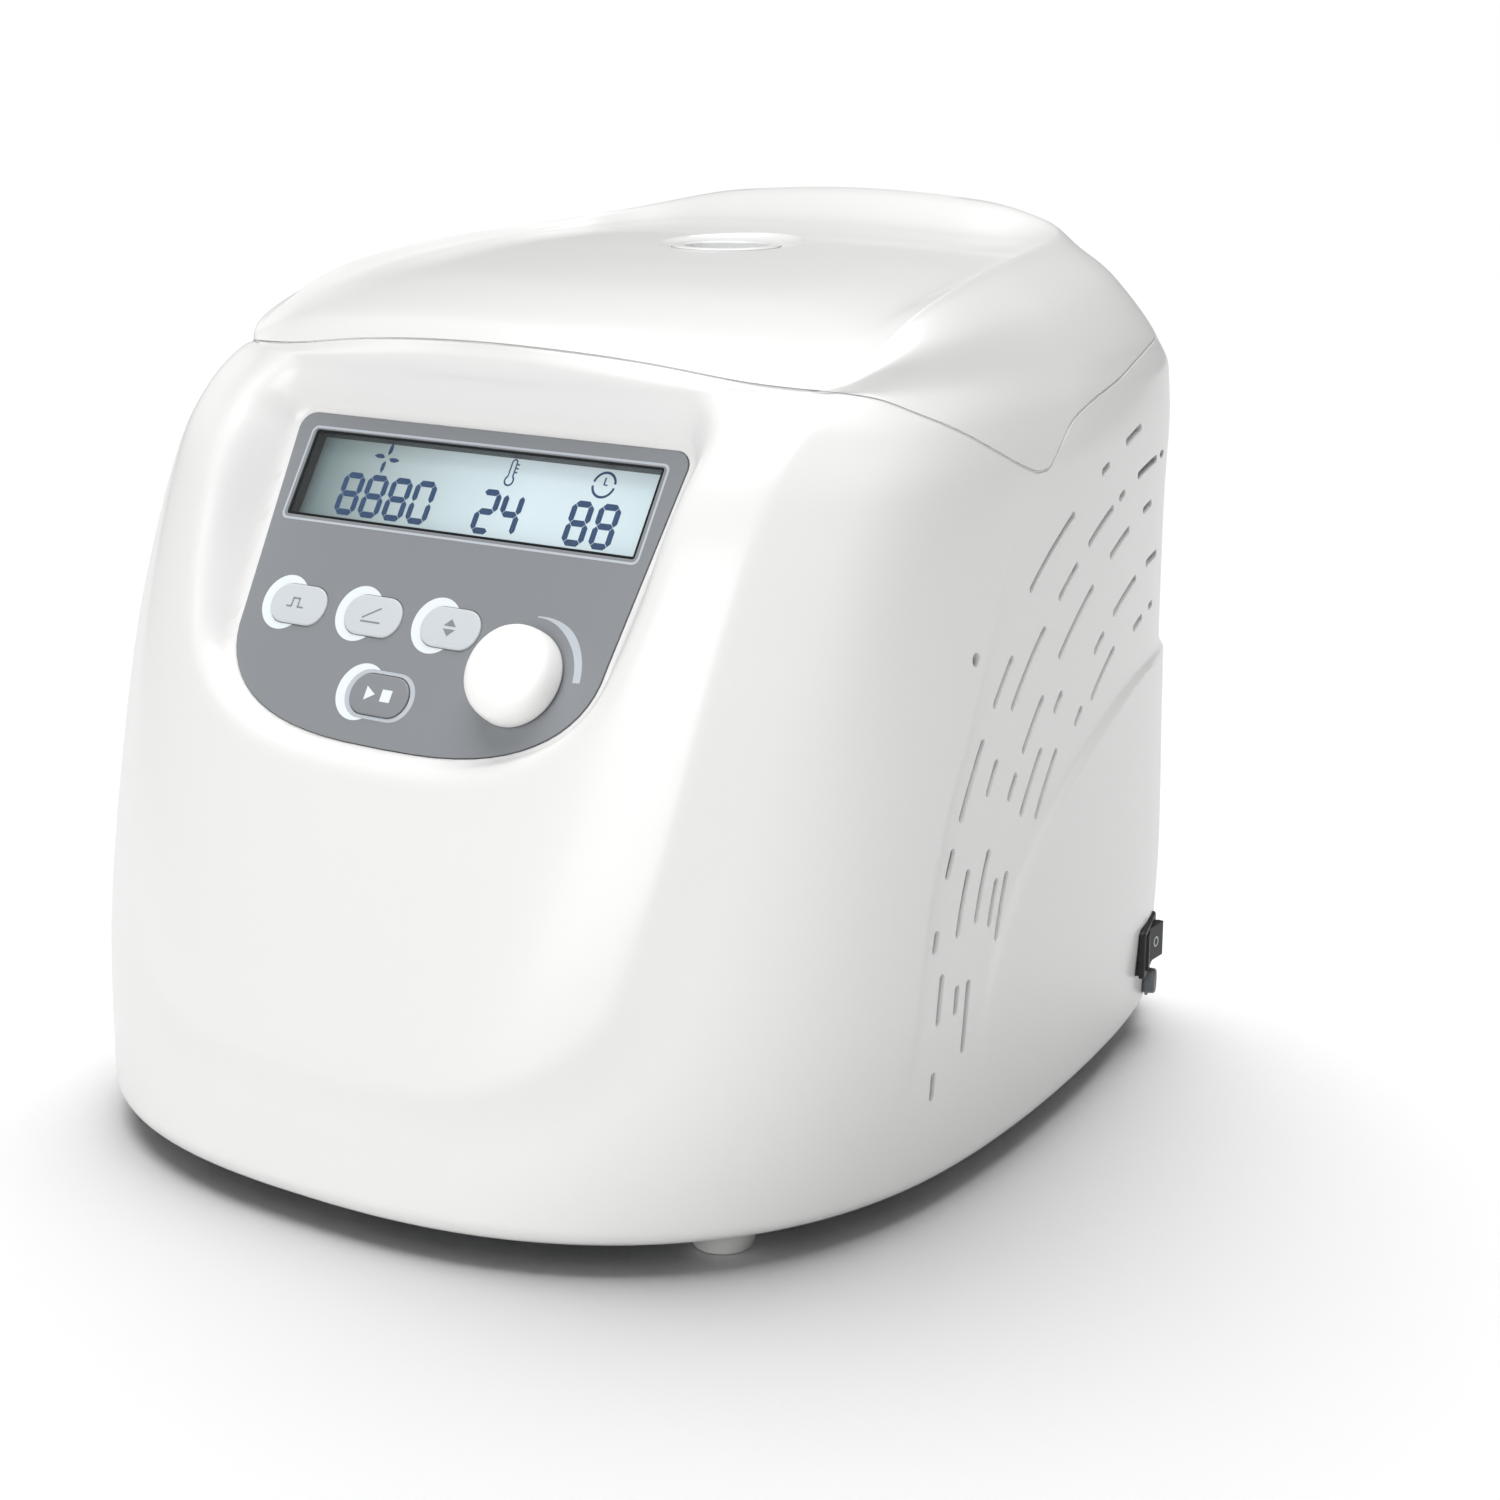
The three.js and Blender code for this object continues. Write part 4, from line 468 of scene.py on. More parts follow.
def prism(name, outline, w0, w1, matrix=None):
    """A closed flat outline raised from w0 to w1, in millimetres, then placed."""
    bm = bmesh.new()
    low, high = ([bm.verts.new((x * MM, y * MM, w * MM)) for x, y in outline] for w in (w0, w1))
    bm.faces.new(low[::-1])
    bm.faces.new(high)
    for i in range(len(low)):
        j = (i + 1) % len(low)
        bm.faces.new((low[i], low[j], high[j], high[i]))
    return from_bm(name, bm, matrix)


def on_facet(outline, low, high, name="k"):
    return prism(name, outline, low, high, FACET)


def box(name, x0, x1, y0, y1, z0, z1, matrix=None):
    return prism(name, [(x0, y0), (x1, y0), (x1, y1), (x0, y1)], z0, z1, matrix)


def rod(name, radius, z0, z1, x=0.0, y=0.0, sides=48, matrix=None):
    return prism(name, circle(x, y, radius, sides), z0, z1, matrix)


def turned(name, profile, sides=96, x=0.0, y=SPINDLE_Y, matrix=None):
    """A turned shape about +Z; the profile is pairs of radius and height, closed on itself or by the axis."""
    bm = bmesh.new()
    loops = []
    for r, z in profile:
        ring = circle(x, y, r, sides) if r > 1e-6 else [(x, y)]
        loops.append([bm.verts.new((u * MM, v * MM, z * MM)) for u, v in ring])
    pairs = list(zip(loops, loops[1:]))
    if profile[0][0] > 1e-6 and profile[-1][0] > 1e-6:
        pairs.append((loops[-1], loops[0]))
    for a, b in pairs:
        for i in range(sides):
            j = (i + 1) % sides
            if len(a) == 1 and len(b) == 1:
                continue
            if len(a) == 1:
                bm.faces.new((a[0], b[i], b[j]))
            elif len(b) == 1:
                bm.faces.new((a[i], b[0], a[j]))
            else:
                bm.faces.new((a[i], b[i], b[j], a[j]))
    return from_bm(name, bm, matrix)


def lifted(base, profile):
    """A turned shape's profile with its heights counted from base."""
    return [(r, base + z) for r, z in profile]


def joined(name, objects):
    bm = bmesh.new()
    for o in objects:
        bm.from_mesh(o.data)
        bpy.data.objects.remove(o)
    return from_bm(name, bm)


def combine(o, operation, tools):
    """Boolean of o with each tool; the tools are removed."""
    for tool in tools:
        m = o.modifiers.new("b", "BOOLEAN")
        m.operation, m.solver, m.object = operation, "MANIFOLD", tool
        dg = bpy.context.evaluated_depsgraph_get()
        mesh = bpy.data.meshes.new_from_object(o.evaluated_get(dg))
        o.modifiers.clear()
        old = o.data
        o.data = mesh
        bpy.data.meshes.remove(old)
        bpy.data.objects.remove(tool)
    return o


def cut(o, *tools):
    return combine(o, "DIFFERENCE", tools)


def kept_in(o, *tools):
    return combine(o, "INTERSECT", tools)


def shade(o, angle=35):
    me = o.data
    me.polygons.foreach_set("use_smooth", [True] * len(me.polygons))
    me.set_sharp_from_angle(angle=radians(angle))
    return o


OUT_X = Matrix(((0, 0, 1, 0), (1, 0, 0, 0), (0, 1, 0, 0), (0, 0, 0, 1)))     # outline in y and z, height along +X


def dash(radius, lo, hi):
    """A vent slot's outline in y and z: an arc from lo to hi degrees with round ends."""
    half = 1.2
    n = max(2, int((hi - lo) / 1.5))

    def at(r, a):
        return (VENT_Y - r * cos(a), VENT_Z + r * sin(a))

    def round_end(a, way):
        (y, z), c, s = at(radius, a), cos(a), sin(a)
        turns = [pi * k / 6 for k in range(1, 6)]
        return [(y + way * half * (sin(b) * s - cos(b) * c),
                 z + way * half * (cos(b) * s + sin(b) * c)) for b in turns]
    steps = [(hi - lo) * i / n for i in range(n + 1)]
    return ([at(radius + half, radians(lo + v)) for v in steps] + round_end(radians(hi), 1)
            + [at(radius - half, radians(hi - v)) for v in steps] + round_end(radians(lo), -1))


def above_seam(offset):
    """All that lies more than offset above the seam."""
    y = np.concatenate([np.linspace(-108, -72, 4), np.linspace(-70, 150, 150), [160, 200]])
    z = seam_z(y) + offset
    outline = list(zip(y.tolist(), z.tolist())) + [(200, HEIGHT + 8), (-108, HEIGHT + 8)]     # clear of the lid
    return prism("above_seam", outline, -HALF_W - 5, HALF_W + 5, OUT_X)


RIM_INSET = 6.0


def wall_room(name, z0, z1, inset, rim=False):
    """The room inside the walls between two heights, with rim drawn in further at the bottom."""
    levels = [z0] + [v for v in (12, 16, 40, 70, 100, 130, 160, 185, 205, 218) if z0 + 1 < v < z1 - 1] + [z1]
    rows = []
    for z in levels:
        rows.append(mirrored(with_z(wall_half(z, RIM_INSET if rim and z < 13 else inset, 0.4)[0], z)))
    return grid_object(name, np.array(rows))


skin = grid_object("skin", dressed(skin_grid()))

lid_cover, housing = (link(name, skin.data.copy()) for name in ("lid_cover_skin", "housing_skin"))
bpy.data.objects.remove(skin)
kept_in(lid_cover, above_seam(SEAM / 2))
cut(lid_cover, grid_object("hollow", skin_grid(WALL, **COARSE)))

cut(housing, above_seam(-SEAM / 2))


# ---- finishes
def srgb(r, g, b):
    def one(v):
        v /= 255
        return v / 12.92 if v <= 0.04045 else ((v + 0.055) / 1.055) ** 2.4
    return (one(r), one(g), one(b), 1)


def node(tree, kind, values=None, **settings):
    """A new shader node with its settings, then its inputs' values."""
    n = tree.nodes.new("ShaderNode" + kind)
    for key, value in settings.items():
        setattr(n, key, value)
    for key, value in (values or {}).items():
        n.inputs[key].default_value = value
    return n


def wire(tree, *links):
    for source, output, target, socket in links:
        tree.links.new(source.outputs[output], target.inputs[socket])


def new_finish(name, values):
    """A material, its tree, and its shader with the values set."""
    m = bpy.data.materials.new(name)
    m.use_nodes = True
    shader = m.node_tree.nodes["Principled BSDF"]
    for key, value in values.items():
        shader.inputs[key].default_value = value
    return m, m.node_tree, shader


def multiply(tree, values):
    return node(tree, "Mix", {"Factor": 1, **values}, data_type="RGBA", blend_type="MULTIPLY")


RELIEF = 0.0005     # depth in metres that a bump of strength 1 stands for


def finish_of(name, colour, rough, grain, bump, mottle, vary=0.03, metal=0.0, coat=0.0, stretch=(1, 1, 1), edge=0.0):
    """A plastic, rubber or metal: slight mottling, a fine grain in the bump and a roughness that varies."""
    m, tree, shader = new_finish(name, {"Metallic": metal, "Coat Weight": coat, "Coat Roughness": 0.12})
    where = node(tree, "TexCoord")
    mapping = node(tree, "Mapping", {"Scale": stretch})
    cloud = node(tree, "TexNoise", {"Scale": 14, "Detail": 3})
    share = node(tree, "MapRange", {"To Min": 1 - mottle, "To Max": 1 + mottle})
    tint = multiply(tree, {"A": srgb(*colour)})
    fine = node(tree, "TexNoise", {"Scale": grain, "Detail": 2})
    gloss = node(tree, "MapRange", {"To Min": max(0.02, rough - vary), "To Max": rough + vary})
    relief = node(tree, "Bump", {"Strength": bump, "Distance": RELIEF})
    wire(tree, (where, "Object", mapping, "Vector"), (mapping, "Vector", cloud, "Vector"),
         (cloud, "Fac", share, "Value"), (share, "Result", tint, "B"), (tint, "Result", shader, "Base Color"),
         (mapping, "Vector", fine, "Vector"), (fine, "Fac", gloss, "Value"), (gloss, "Result", shader, "Roughness"),
         (fine, "Fac", relief, "Height"), (relief, "Normal", shader, "Normal"))
    if edge:
        wire(tree, (node(tree, "Bevel", {"Radius": edge * MM}, samples=4), "Normal", relief, "Normal"))
    return m


# name, colour (0 to 255), roughness, grain, bump and mottling
WHITE = finish_of("moulded_white", (233, 233, 232), 0.3, 900, 0.012, 0.004, coat=0.12, edge=0.35)
LINER_WHITE = finish_of("liner_white", (234, 235, 234), 0.42, 700, 0.03, 0.006)
KNOB_WHITE = finish_of("knob_white", (242, 242, 240), 0.42, 1500, 0.03, 0.004)
PANEL_GREY = finish_of("panel_grey", (134, 137, 141), 0.5, 1800, 0.02, 0.006)
KEY_GREY = finish_of("key_grey", (200, 205, 209), 0.5, 1800, 0.02, 0.006)
PRINT_LIGHT = finish_of("print_light", (228, 234, 238), 0.5, 1800, 0.01, 0.004)
PRINT_GREY = finish_of("print_grey", (186, 192, 199), 0.5, 1800, 0.01, 0.004)
PRINT_DARK = finish_of("print_dark", (132, 137, 142), 0.5, 1800, 0.01, 0.004)
BLACK = finish_of("moulded_black", (17, 18, 19), 0.5, 1200, 0.05, 0.02, edge=0.25)
COLLAR = finish_of("display_collar", (14, 18, 22), 0.45, 1200, 0.02, 0.012)
GREY = finish_of("moulded_grey", (108, 112, 115), 0.5, 1000, 0.04, 0.02, edge=0.25)
FOOT_WHITE = finish_of("foot_white", (214, 215, 213), 0.6, 900, 0.08, 0.02)
RUBBER = finish_of("rubber", (44, 45, 47), 0.75, 700, 0.15, 0.05)
STEEL = finish_of("sheet_steel", (182, 185, 187), 0.34, 400, 0.03, 0.04, metal=1.0, stretch=(1, 1, 6))
BRIGHT = finish_of("bright_steel", (206, 209, 212), 0.2, 300, 0.015, 0.03, metal=1.0, stretch=(1, 1, 8))
ROTOR_GREY = finish_of("anodised_rotor", (150, 156, 162), 0.36, 800, 0.03, 0.03, metal=1.0)
BOARD = finish_of("board_green", (28, 92, 62), 0.45, 300, 0.04, 0.12, coat=0.3)
DIGIT = finish_of("digit_blue", (0, 58, 104), 0.6, 900, 0.0, 0.06)


def clear_finish(name, gloss):
    """A clear plastic: see-through, with a share of gloss over it."""
    m, tree, shader = new_finish(name, {"Base Color": (1, 1, 1, 1), "Roughness": 0.06})
    clear = node(tree, "BsdfTransparent", {"Color": (0.97, 0.985, 0.985, 1)})
    noise = node(tree, "TexNoise", {"Scale": 60})
    relief = node(tree, "Bump", {"Strength": 0.02, "Distance": RELIEF})
    mix = node(tree, "MixShader", {"Fac": gloss})
    wire(tree, (noise, "Fac", relief, "Height"), (relief, "Normal", shader, "Normal"), (clear, "BSDF", mix, 1),
         (shader, "BSDF", mix, 2), (mix, "Shader", tree.nodes["Material Output"], "Surface"))
    return m


def display_finish():
    """The lit display: grey-green at its left, pale blue-white at its right, and darker under its top edge, where shade
    is painted into its colour.
    """
    half_wide, shade_low, shade_high = 0.064, 0.186 + 0.0145, 0.2052     # metres
    stops = [(0.0, (60, 70, 75)), (1.0, (198, 212, 217)), (0.05, (110, 125, 127)), (0.13, (138, 150, 152)),
             (0.28, (170, 181, 184)), (0.45, (192, 204, 209)), (0.65, (206, 217, 223)), (0.85, (204, 215, 220))]
    m, tree, shader = new_finish("lit_display", {"Roughness": 0.45, "Emission Strength": 0.25})
    where = node(tree, "TexCoord")
    split = node(tree, "SeparateXYZ")
    across = node(tree, "MapRange", {"From Min": -half_wide, "From Max": half_wide})
    ramp = node(tree, "ValToRGB")
    points = ramp.color_ramp.elements
    for i, (at, colour) in enumerate(stops):
        point = points[i] if i < 2 else points.new(at)
        point.position, point.color = at, srgb(*colour)
    # painted shade: the cell's colour falls to 0.72 towards its top edge, as if shadowed by the recess above it
    up = node(tree, "MapRange", {"From Min": shade_low, "From Max": shade_high, "To Min": 1.0, "To Max": 0.72},
              interpolation_type="SMOOTHSTEP")
    mix = multiply(tree, {})
    wire(tree, (where, "Object", split, "Vector"), (split, "X", across, "Value"), (across, "Result", ramp, "Fac"),
         (split, "Z", up, "Value"), (ramp, "Color", mix, "A"), (up, "Result", mix, "B"),
         (mix, "Result", shader, "Base Color"), (mix, "Result", shader, "Emission Color"))
    return m


CLEAR, SIGHT_CLEAR, DISPLAY = clear_finish("clear_acrylic", 0.02), clear_finish("clear_sight", 0.3), display_finish()


def show(o, body, slot, material, *nodes, angle=35):
    shade(o, angle)
    o.data.materials.clear()
    o.data.materials.append(material)
    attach(o, body)
    if nodes:
        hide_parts(*nodes)
    return o


# ---- housing
# heights of the tray's deck and of the ledge in front of it, and how far back the ledge goes
DECK, UNDER_DECK, LEDGE_UNDER, LEDGE_BACK = 195.0, 192.0, 222.0, -39.0
FACE, BACK = -1.5, -4.5     # the facet's wall under the panel, by height above the facet
HINGE_X, HINGE_Y, HINGE_Z, HINGE_HALF = 52.0, 148.6, 227.6, 18.6
BOLT_Y = -46.5
KEYS = [("key_pulse", -46.4, -27.4), ("key_lid", -17.8, -27.4), ("key_select", 10.8, -27.4), ("key_start", -5.7, -49.9)]
KEY_W, KEY_H = 21.0, 12.0
KNOB, KNOB_HOLE = (40.2, -38.6), 4.8
BIG = 300.0


def slab(y0, y1, z0, z1, x0=-BIG, x1=BIG):
    return box("slab", x0, x1, y0, y1, z0, z1)


def behind_facet(o):
    return cut(o, box("front", -BIG, BIG, -BIG, BIG, BACK, BIG, FACET))


def along_x(radius, x0, x1, y, z):
    return rod("along_x", radius, x0, x1, sides=40, matrix=Matrix.Translation((0, y, z)) @ OUT_X)


def hinge_rooms():
    tools = []
    for side in (-1, 1):
        x0, x1 = side * HINGE_X - HINGE_HALF - 0.3, side * HINGE_X + HINGE_HALF + 0.3
        tools.append(along_x(4.0, x0, x1, HINGE_Y, HINGE_Z))
        tools.append(slab(HINGE_Y - 2.6, HINGE_Y + 0.3, HINGE_Z - 26.3, HINGE_Z, x0, x1))
    return tools


def leaf_rooms(y0, y1, z0, z1):
    return [slab(y0, y1, z0, z1, side * HINGE_X - 6.3, side * HINGE_X + 6.3) for side in (-1, 1)]


def turn_frame(x, y, z, turn):
    c, s = cos(turn), sin(turn)
    return Matrix(((c, -s, 0, x), (s, c, 0, y), (0, 0, 1, z), (0, 0, 0, 1)))


SWITCH = turn_frame(122.88, 113.0, 31.0, 0.335)
UP_TO_X = Matrix(((0, 0, 1, 0), (0, 1, 0, 0), (-1, 0, 0, 0), (0, 0, 0, 1)))
FUSE_AT = turn_frame(119.75, 119.0, 16.5, 0.36) @ UP_TO_X

low_room = behind_facet(wall_room("low_room", 5, UNDER_DECK, WALL, rim=True))
ledge_room = wall_room("ledge_room", UNDER_DECK - 3, LEDGE_UNDER, WALL)
behind_facet(kept_in(ledge_room, slab(-BIG, LEDGE_BACK - WALL, 0, BIG)))
tray = kept_in(wall_room("tray", DECK, SHOULDER + 1, WALL), slab(LEDGE_BACK, BIG, 0, BIG))
well = rod("well", 81.9, UNDER_DECK - 3, DECK + 3, 0, SPINDLE_Y, 128)
slots = joined("slots", [prism("dash", dash(r, lo, hi), -HALF_W - 3, HALF_W + 3, OUT_X)
                         for r, marks in VENTS for lo, hi in marks])
cut(slots, wall_room("deep", FLOOR + 6, SHOULDER, 12))
pocket = on_facet(panel_outline(0.28), FACE, 6)
window_cut = on_facet(rect(-63.8, 63.8, -0.3, 26.9), BACK - 3, 0)
holes = [circle(x, y, 2.8, 32) for _, x, y in KEYS] + [circle(*KNOB, KNOB_HOLE, 32)]
stem_holes = [on_facet(hole, BACK - 3, 0) for hole in holes]
lock_slot = slab(BOLT_Y - 2.7, BOLT_Y + 2.7, LEDGE_UNDER - 3, HEIGHT, -8.2, 8.2)
rear = [slab(HALF_D - 2.1, HALF_D + 3, 23.7, 112.3, -72.3, 72.3),
        slab(HALF_D - 8, HALF_D + 3, 28, 108, -68, 68)]
switch_cut = [box("s", -15, 3, -11.8, 11.8, -7.2, 7.2, SWITCH), box("s", -0.2, 9, -12.8, 12.8, -8.1, 8.1, SWITCH)]
fuse_cut = rod("f", 4.3, -17, 6, matrix=FUSE_AT)
release = along_x(2.0, 71, 146, -26, 154)
cut(housing, low_room, ledge_room, tray, well, slots, pocket, window_cut, *stem_holes, lock_slot,
    *hinge_rooms(), *rear, *switch_cut, fuse_cut, release)
show(housing, "housing", "white", WHITE, "housing_shell", angle=32)

# a thin lip that closes the seam from behind
lip = grid_object("seam_lip", dressed(skin_grid(0.45)))
cut(lip, grid_object("k", skin_grid(2.4, **COARSE)), above_seam(0.38))
kept_in(lip, above_seam(-1.0))
show(lip, "housing", "white", WHITE)


def vent_baffle(name, room, hollow, y0, y1, z0, z1, x_from):
    """A plain inner skin behind the vent slots of both sides; room and hollow are heights and inset."""
    o = cut(wall_room(name, *room), wall_room("k", *hollow))
    both = [slab(y0, y1, z0, z1, -BIG, -x_from), slab(y0, y1, z0, z1, x_from, BIG)]
    show(kept_in(o, joined("k", both)), "housing", "white", LINER_WHITE)


vent_baffle("vent_baffle", (16, 188, 3.4), (12, 190, 4.6), -62, 138, 17, 187, 96)
vent_baffle("vent_baffle_upper", (195.4, 206, 3.4), (194, 208, 4.4), 52, 132, 190, 210, 60)

# ---- lid
SIGHT = float(lid_top(np.array(0.0), np.array(SPINDLE_Y)))
DISH = SIGHT - 1.2
dish = turned("dish", lifted(DISH, [(0, 0), (17.3, 0), (19, 0.05), (21, 0.3), (23, 0.85), (24.5, 1.5), (28, 4)])
              + [(28, HEIGHT + 4), (0, HEIGHT + 4)])
sight_hole = rod("sight_hole", 17.3, DECK, HEIGHT, 0, SPINDLE_Y, 96)
cut(lid_cover, sight_hole, dish, *leaf_rooms(124.0, HINGE_Y + 3, HINGE_Z - 3, HINGE_Z + 2.3), *hinge_rooms())
show(lid_cover, "lid", "white", WHITE, "lid_cover", angle=32)

ring = turned("window_ring_piece", lifted(SIGHT, [(11.2, -4.2), (17, -4.2)]) + lifted(DISH, [
    (17, 0.2), (16.6, 0.55), (15.8, 0.7), (14.6, 0.7), (13.8, 0.45), (13.3, 0.1), (13.3, -2.2), (11.2, -2.2)]))
show(ring, "lid", "white", WHITE, "window_ring", angle=40)
pane = turned("sight_pane", lifted(DISH, [(0, -2.1), (12.6, -2.1), (13, -1.8), (13, -0.3), (12.7, 0), (0, 0)]))
show(pane, "lid", "clear", SIGHT_CLEAR, "sight_window", angle=40)

# ---- control panel
HOLE = (-3, 3)     # a cut right through the panel
overlay = on_facet(panel_outline(), -1.2, 0, "panel_plate")
key_holes = [on_facet(oblong(x, y, KEY_W + 0.5, KEY_H + 0.5), *HOLE) for _, x, y in KEYS]
cut(overlay, on_facet(rect(-63.8, 63.8, -0.3, 26.9, 0.8), *HOLE), *key_holes,
    on_facet(circle(*KNOB, KNOB_HOLE, 48), *HOLE))
show(overlay, "housing", "panel", PANEL_GREY, "panel_overlay", angle=40)


def stacked(name, rings, matrix=None):
    """Outlines with the same number of points at rising heights, closed at both ends."""
    grid = np.array([[(x, y, z) for x, y in outline] for outline, z in rings], float)
    return place(outward(grid_object(name, grid)), matrix)


def key_piece(name, x, y, material):
    """A key with a rounded edge and a slightly domed top, on its stem."""
    edge_from, top_from = 0.25, 0.65
    rings = [(oblong(x, y, KEY_W, KEY_H), -0.4), (oblong(x, y, KEY_W, KEY_H), edge_from)]
    for i in range(1, 6):
        a = radians(90 * i / 5)
        k = 0.55 * (1 - cos(a))
        rings.append((oblong(x, y, KEY_W - 2 * k, KEY_H - 2 * k), edge_from + 0.4 * sin(a)))
    for share, lift in ((0.75, 0.06), (0.5, 0.1), (0.2, 0.13)):
        rings.append((oblong(x, y, 9 + 10.9 * share, 10.9 * share), top_from + lift))
    cap = stacked(name + "_cap", rings, FACET)
    stem = on_facet(circle(x, y, 2.5, 32), BACK, -0.5)
    show(joined(name + "_cap", [cap, stem]), name, "key", material, name, angle=50)


PRINT = 0.04     # thickness of what is printed


def print_on(name, outline, material, *gaps):
    """Flat print on the panel, left open where the gaps are."""
    o = cut(on_facet(outline, 0.0, PRINT, name), *(on_facet(gap, -1, 1) for gap in gaps))
    show(o, "housing", "panel", material)


def ring_of(name, outer, inner, material):
    """A printed line between two outlines with the same number of points."""
    n = len(outer)
    rows = ((outer, 0), (outer, PRINT), (inner, PRINT), (inner, 0))
    points = [(x * MM, y * MM, z * MM) for outline, z in rows for x, y in outline]
    faces = []
    for a, b in ((0, n), (n, 2 * n), (2 * n, 3 * n), (3 * n, 0)):
        faces += [(a + i, a + (i + 1) % n, b + (i + 1) % n, b + i) for i in range(n)]
    show(place(from_faces(name, points, faces), FACET), "housing", "panel", material)


for name, x, y in KEYS:
    key_piece(name, x, y, PANEL_GREY if name == "key_start" else KEY_GREY)
for name, x, y in KEYS[:3]:
    print_on(name.replace("key", "print"), circle(x - 5.6, y + 0.2, 8.4), PRINT_LIGHT, oblong(x, y, 21.4, 12.4))
_, x, y = KEYS[3]
print_on("print_start", circle(x - 7.4, y + 0.2, 8.5), PRINT_LIGHT, oblong(x, y, 25, 14.6))
ring_of("print_start_ring", oblong(x, y, 24.9, 14.5), oblong(x, y, 21.6, 12.6), PRINT_GREY)
ring_of("print_display_line", rect(-65.5, 65.5, -1.9, 28.0, 2.2), rect(-64.8, 64.8, -1.2, 27.3, 1.7), PRINT_GREY)
arc_edges = []
for way in (1, -1):
    edge = []
    for i in range(25):
        a = radians(94 - 89 * i / 24)
        r = 18.4 + way * (0.25 + 1.1 * float(smooth(i / 24, 0.0, 0.55))) * 0.9
        edge.append((KNOB[0] + r * cos(a), KNOB[1] + r * sin(a)))
    arc_edges += edge[::way]
print_on("print_arc", arc_edges, PRINT_GREY)


def stroke(points, width):
    """A thin line of even width along points, as a closed outline."""
    p = np.asarray(points, float)
    t = np.gradient(p, axis=0)
    t /= np.maximum(np.linalg.norm(t, axis=1, keepdims=True), 1e-9)
    n = np.stack([-t[:, 1], t[:, 0]], 1) * width / 2
    return [tuple(q) for q in p + n] + [tuple(q) for q in (p - n)[::-1]]


def strokes(width, *lines):
    return [stroke(line, width) for line in lines]


def sign(key, outlines, material):
    """A pictogram on a key's top."""
    low = 0.785
    name = key.replace("key", "sign")
    show(joined(name, [on_facet(q, low, low + PRINT) for q in outlines]), key, "key", material)


sign("key_pulse", strokes(0.5, [(-50.4, -28.4), (-48.4, -28.4)], [(-48.5, -28.4), (-48.5, -25.6)],
                          [(-48.7, -25.8), (-45.9, -25.8)], [(-46.1, -25.6), (-46.1, -28.6)],
                          [(-46.3, -28.4), (-44.0, -28.4)]), PRINT_DARK)
sign("key_lid", strokes(0.5, [(-21.4, -29.4), (-14.2, -29.4)], [(-21.2, -28.4), (-15.2, -25.0)]), PRINT_DARK)
sign("key_select", [[(8.6, -27.0), (13.0, -27.0), (10.8, -24.9)], [(13.0, -27.9), (8.6, -27.9), (10.8, -30.0)]],
     PRINT_DARK)
sign("key_start", [[(-10.4, -52.0), (-6.9, -49.9), (-10.4, -47.8)], rect(-4.6, -1.0, -51.7, -48.1)], PRINT_LIGHT)

# display: lit cell, dark collar, clear pane, then the figures on the cell
ON_CELL = -3.89     # just clear of the cell's top
cell = on_facet(rect(-63.4, 63.4, 0.1, 26.5), -4.9, -3.9, "display_cell")
show(cell, "housing", "display", DISPLAY, "display_module")
collar = on_facet(rect(-63.5, 63.5, 0, 26.6, 0.5), ON_CELL, -0.12, "display_collar")
cut(collar, on_facet(rect(-63.0, 63.0, 0.5, 26.1, 0.3), -6, 2))
show(collar, "housing", "black", COLLAR)
pane = on_facet(rect(-62.9, 62.9, 0.6, 26.0, 0.3), -0.7, -0.3, "display_pane")
show(pane, "housing", "clear", CLEAR, "display_window")


def segments(x, y, w, h, marks):
    """A seven-segment digit as outlines; marks are letters a to g."""
    k, m, gap = 0.95, h / 2, 0.13     # half of a bar's width, the middle, and the gap at each end of a bar

    def bar(ax, ay, bx, by):
        length = hypot(bx - ax, by - ay)
        ux, uy = (bx - ax) / length, (by - ay) / length
        px, py, qx, qy = -uy * k, ux * k, ux * k, uy * k
        ax, ay, bx, by = x + ax + ux * gap, y + ay + uy * gap, x + bx - ux * gap, y + by - uy * gap
        return [(ax, ay), (ax + qx - px, ay + qy - py), (bx - qx - px, by - qy - py), (bx, by),
                (bx - qx + px, by - qy + py), (ax + qx + px, ay + qy + py)]
    ends = {"a": (k, h - k, w - k, h - k), "b": (w - k, h - k, w - k, m), "c": (w - k, m, w - k, k),
            "d": (k, k, w - k, k), "e": (k, m, k, k), "f": (k, h - k, k, m), "g": (k, m, w - k, m)}
    return [bar(*ends[c]) for c in marks]


figures = []
for i, marks in enumerate(("abcdefg", "abcdefg", "abcdefg", "abcdef")):
    figures += segments(-48.3 + 9.1 * i, 1.8, 8.0, 13.5, marks)
for x, marks in ((3.2, "abged"), (11.6, "fgbc")):
    figures += segments(x, 1.5, 7.5, 13.7, marks)
for x in (35.8, 45.1):
    figures += segments(x, 1.5, 7.6, 13.6, "abcdefg")
blade = [(0.9, -0.1), (2.0, -0.9), (3.7, -0.75), (5.0, 0.1), (3.4, 0.6), (1.6, 0.4)]
for k in range(4):     # a fan
    c, s = cos(radians(90 * k - 6)), sin(radians(90 * k - 6))
    figures.append([(-35.2 + u * c - v * s, 20.8 + u * s + v * c) for u, v in blade])
figures += strokes(0.75, *(arc(43.9, 20.4, 3.7, a, a + 162, 16) for a in (8, 188)))     # a clock
figures += strokes(0.5, [(43.9, 20.4), (43.9, 22.6)]) + strokes(0.4, [(43.9, 20.4), (45.1, 20.4)])
figures += strokes(0.45, *([(x, 19.6), (x, 24.0)] for x in (10.3, 12.0)))               # a thermometer
figures += strokes(0.45, *([(12.3, y), (13.1, y)] for y in (21.0, 22.2, 23.4)), arc(11.15, 24.0, 0.85, 180, 0, 8))
figures += strokes(0.55, arc(11.15, 18.4, 1.5, 125, 415, 16))
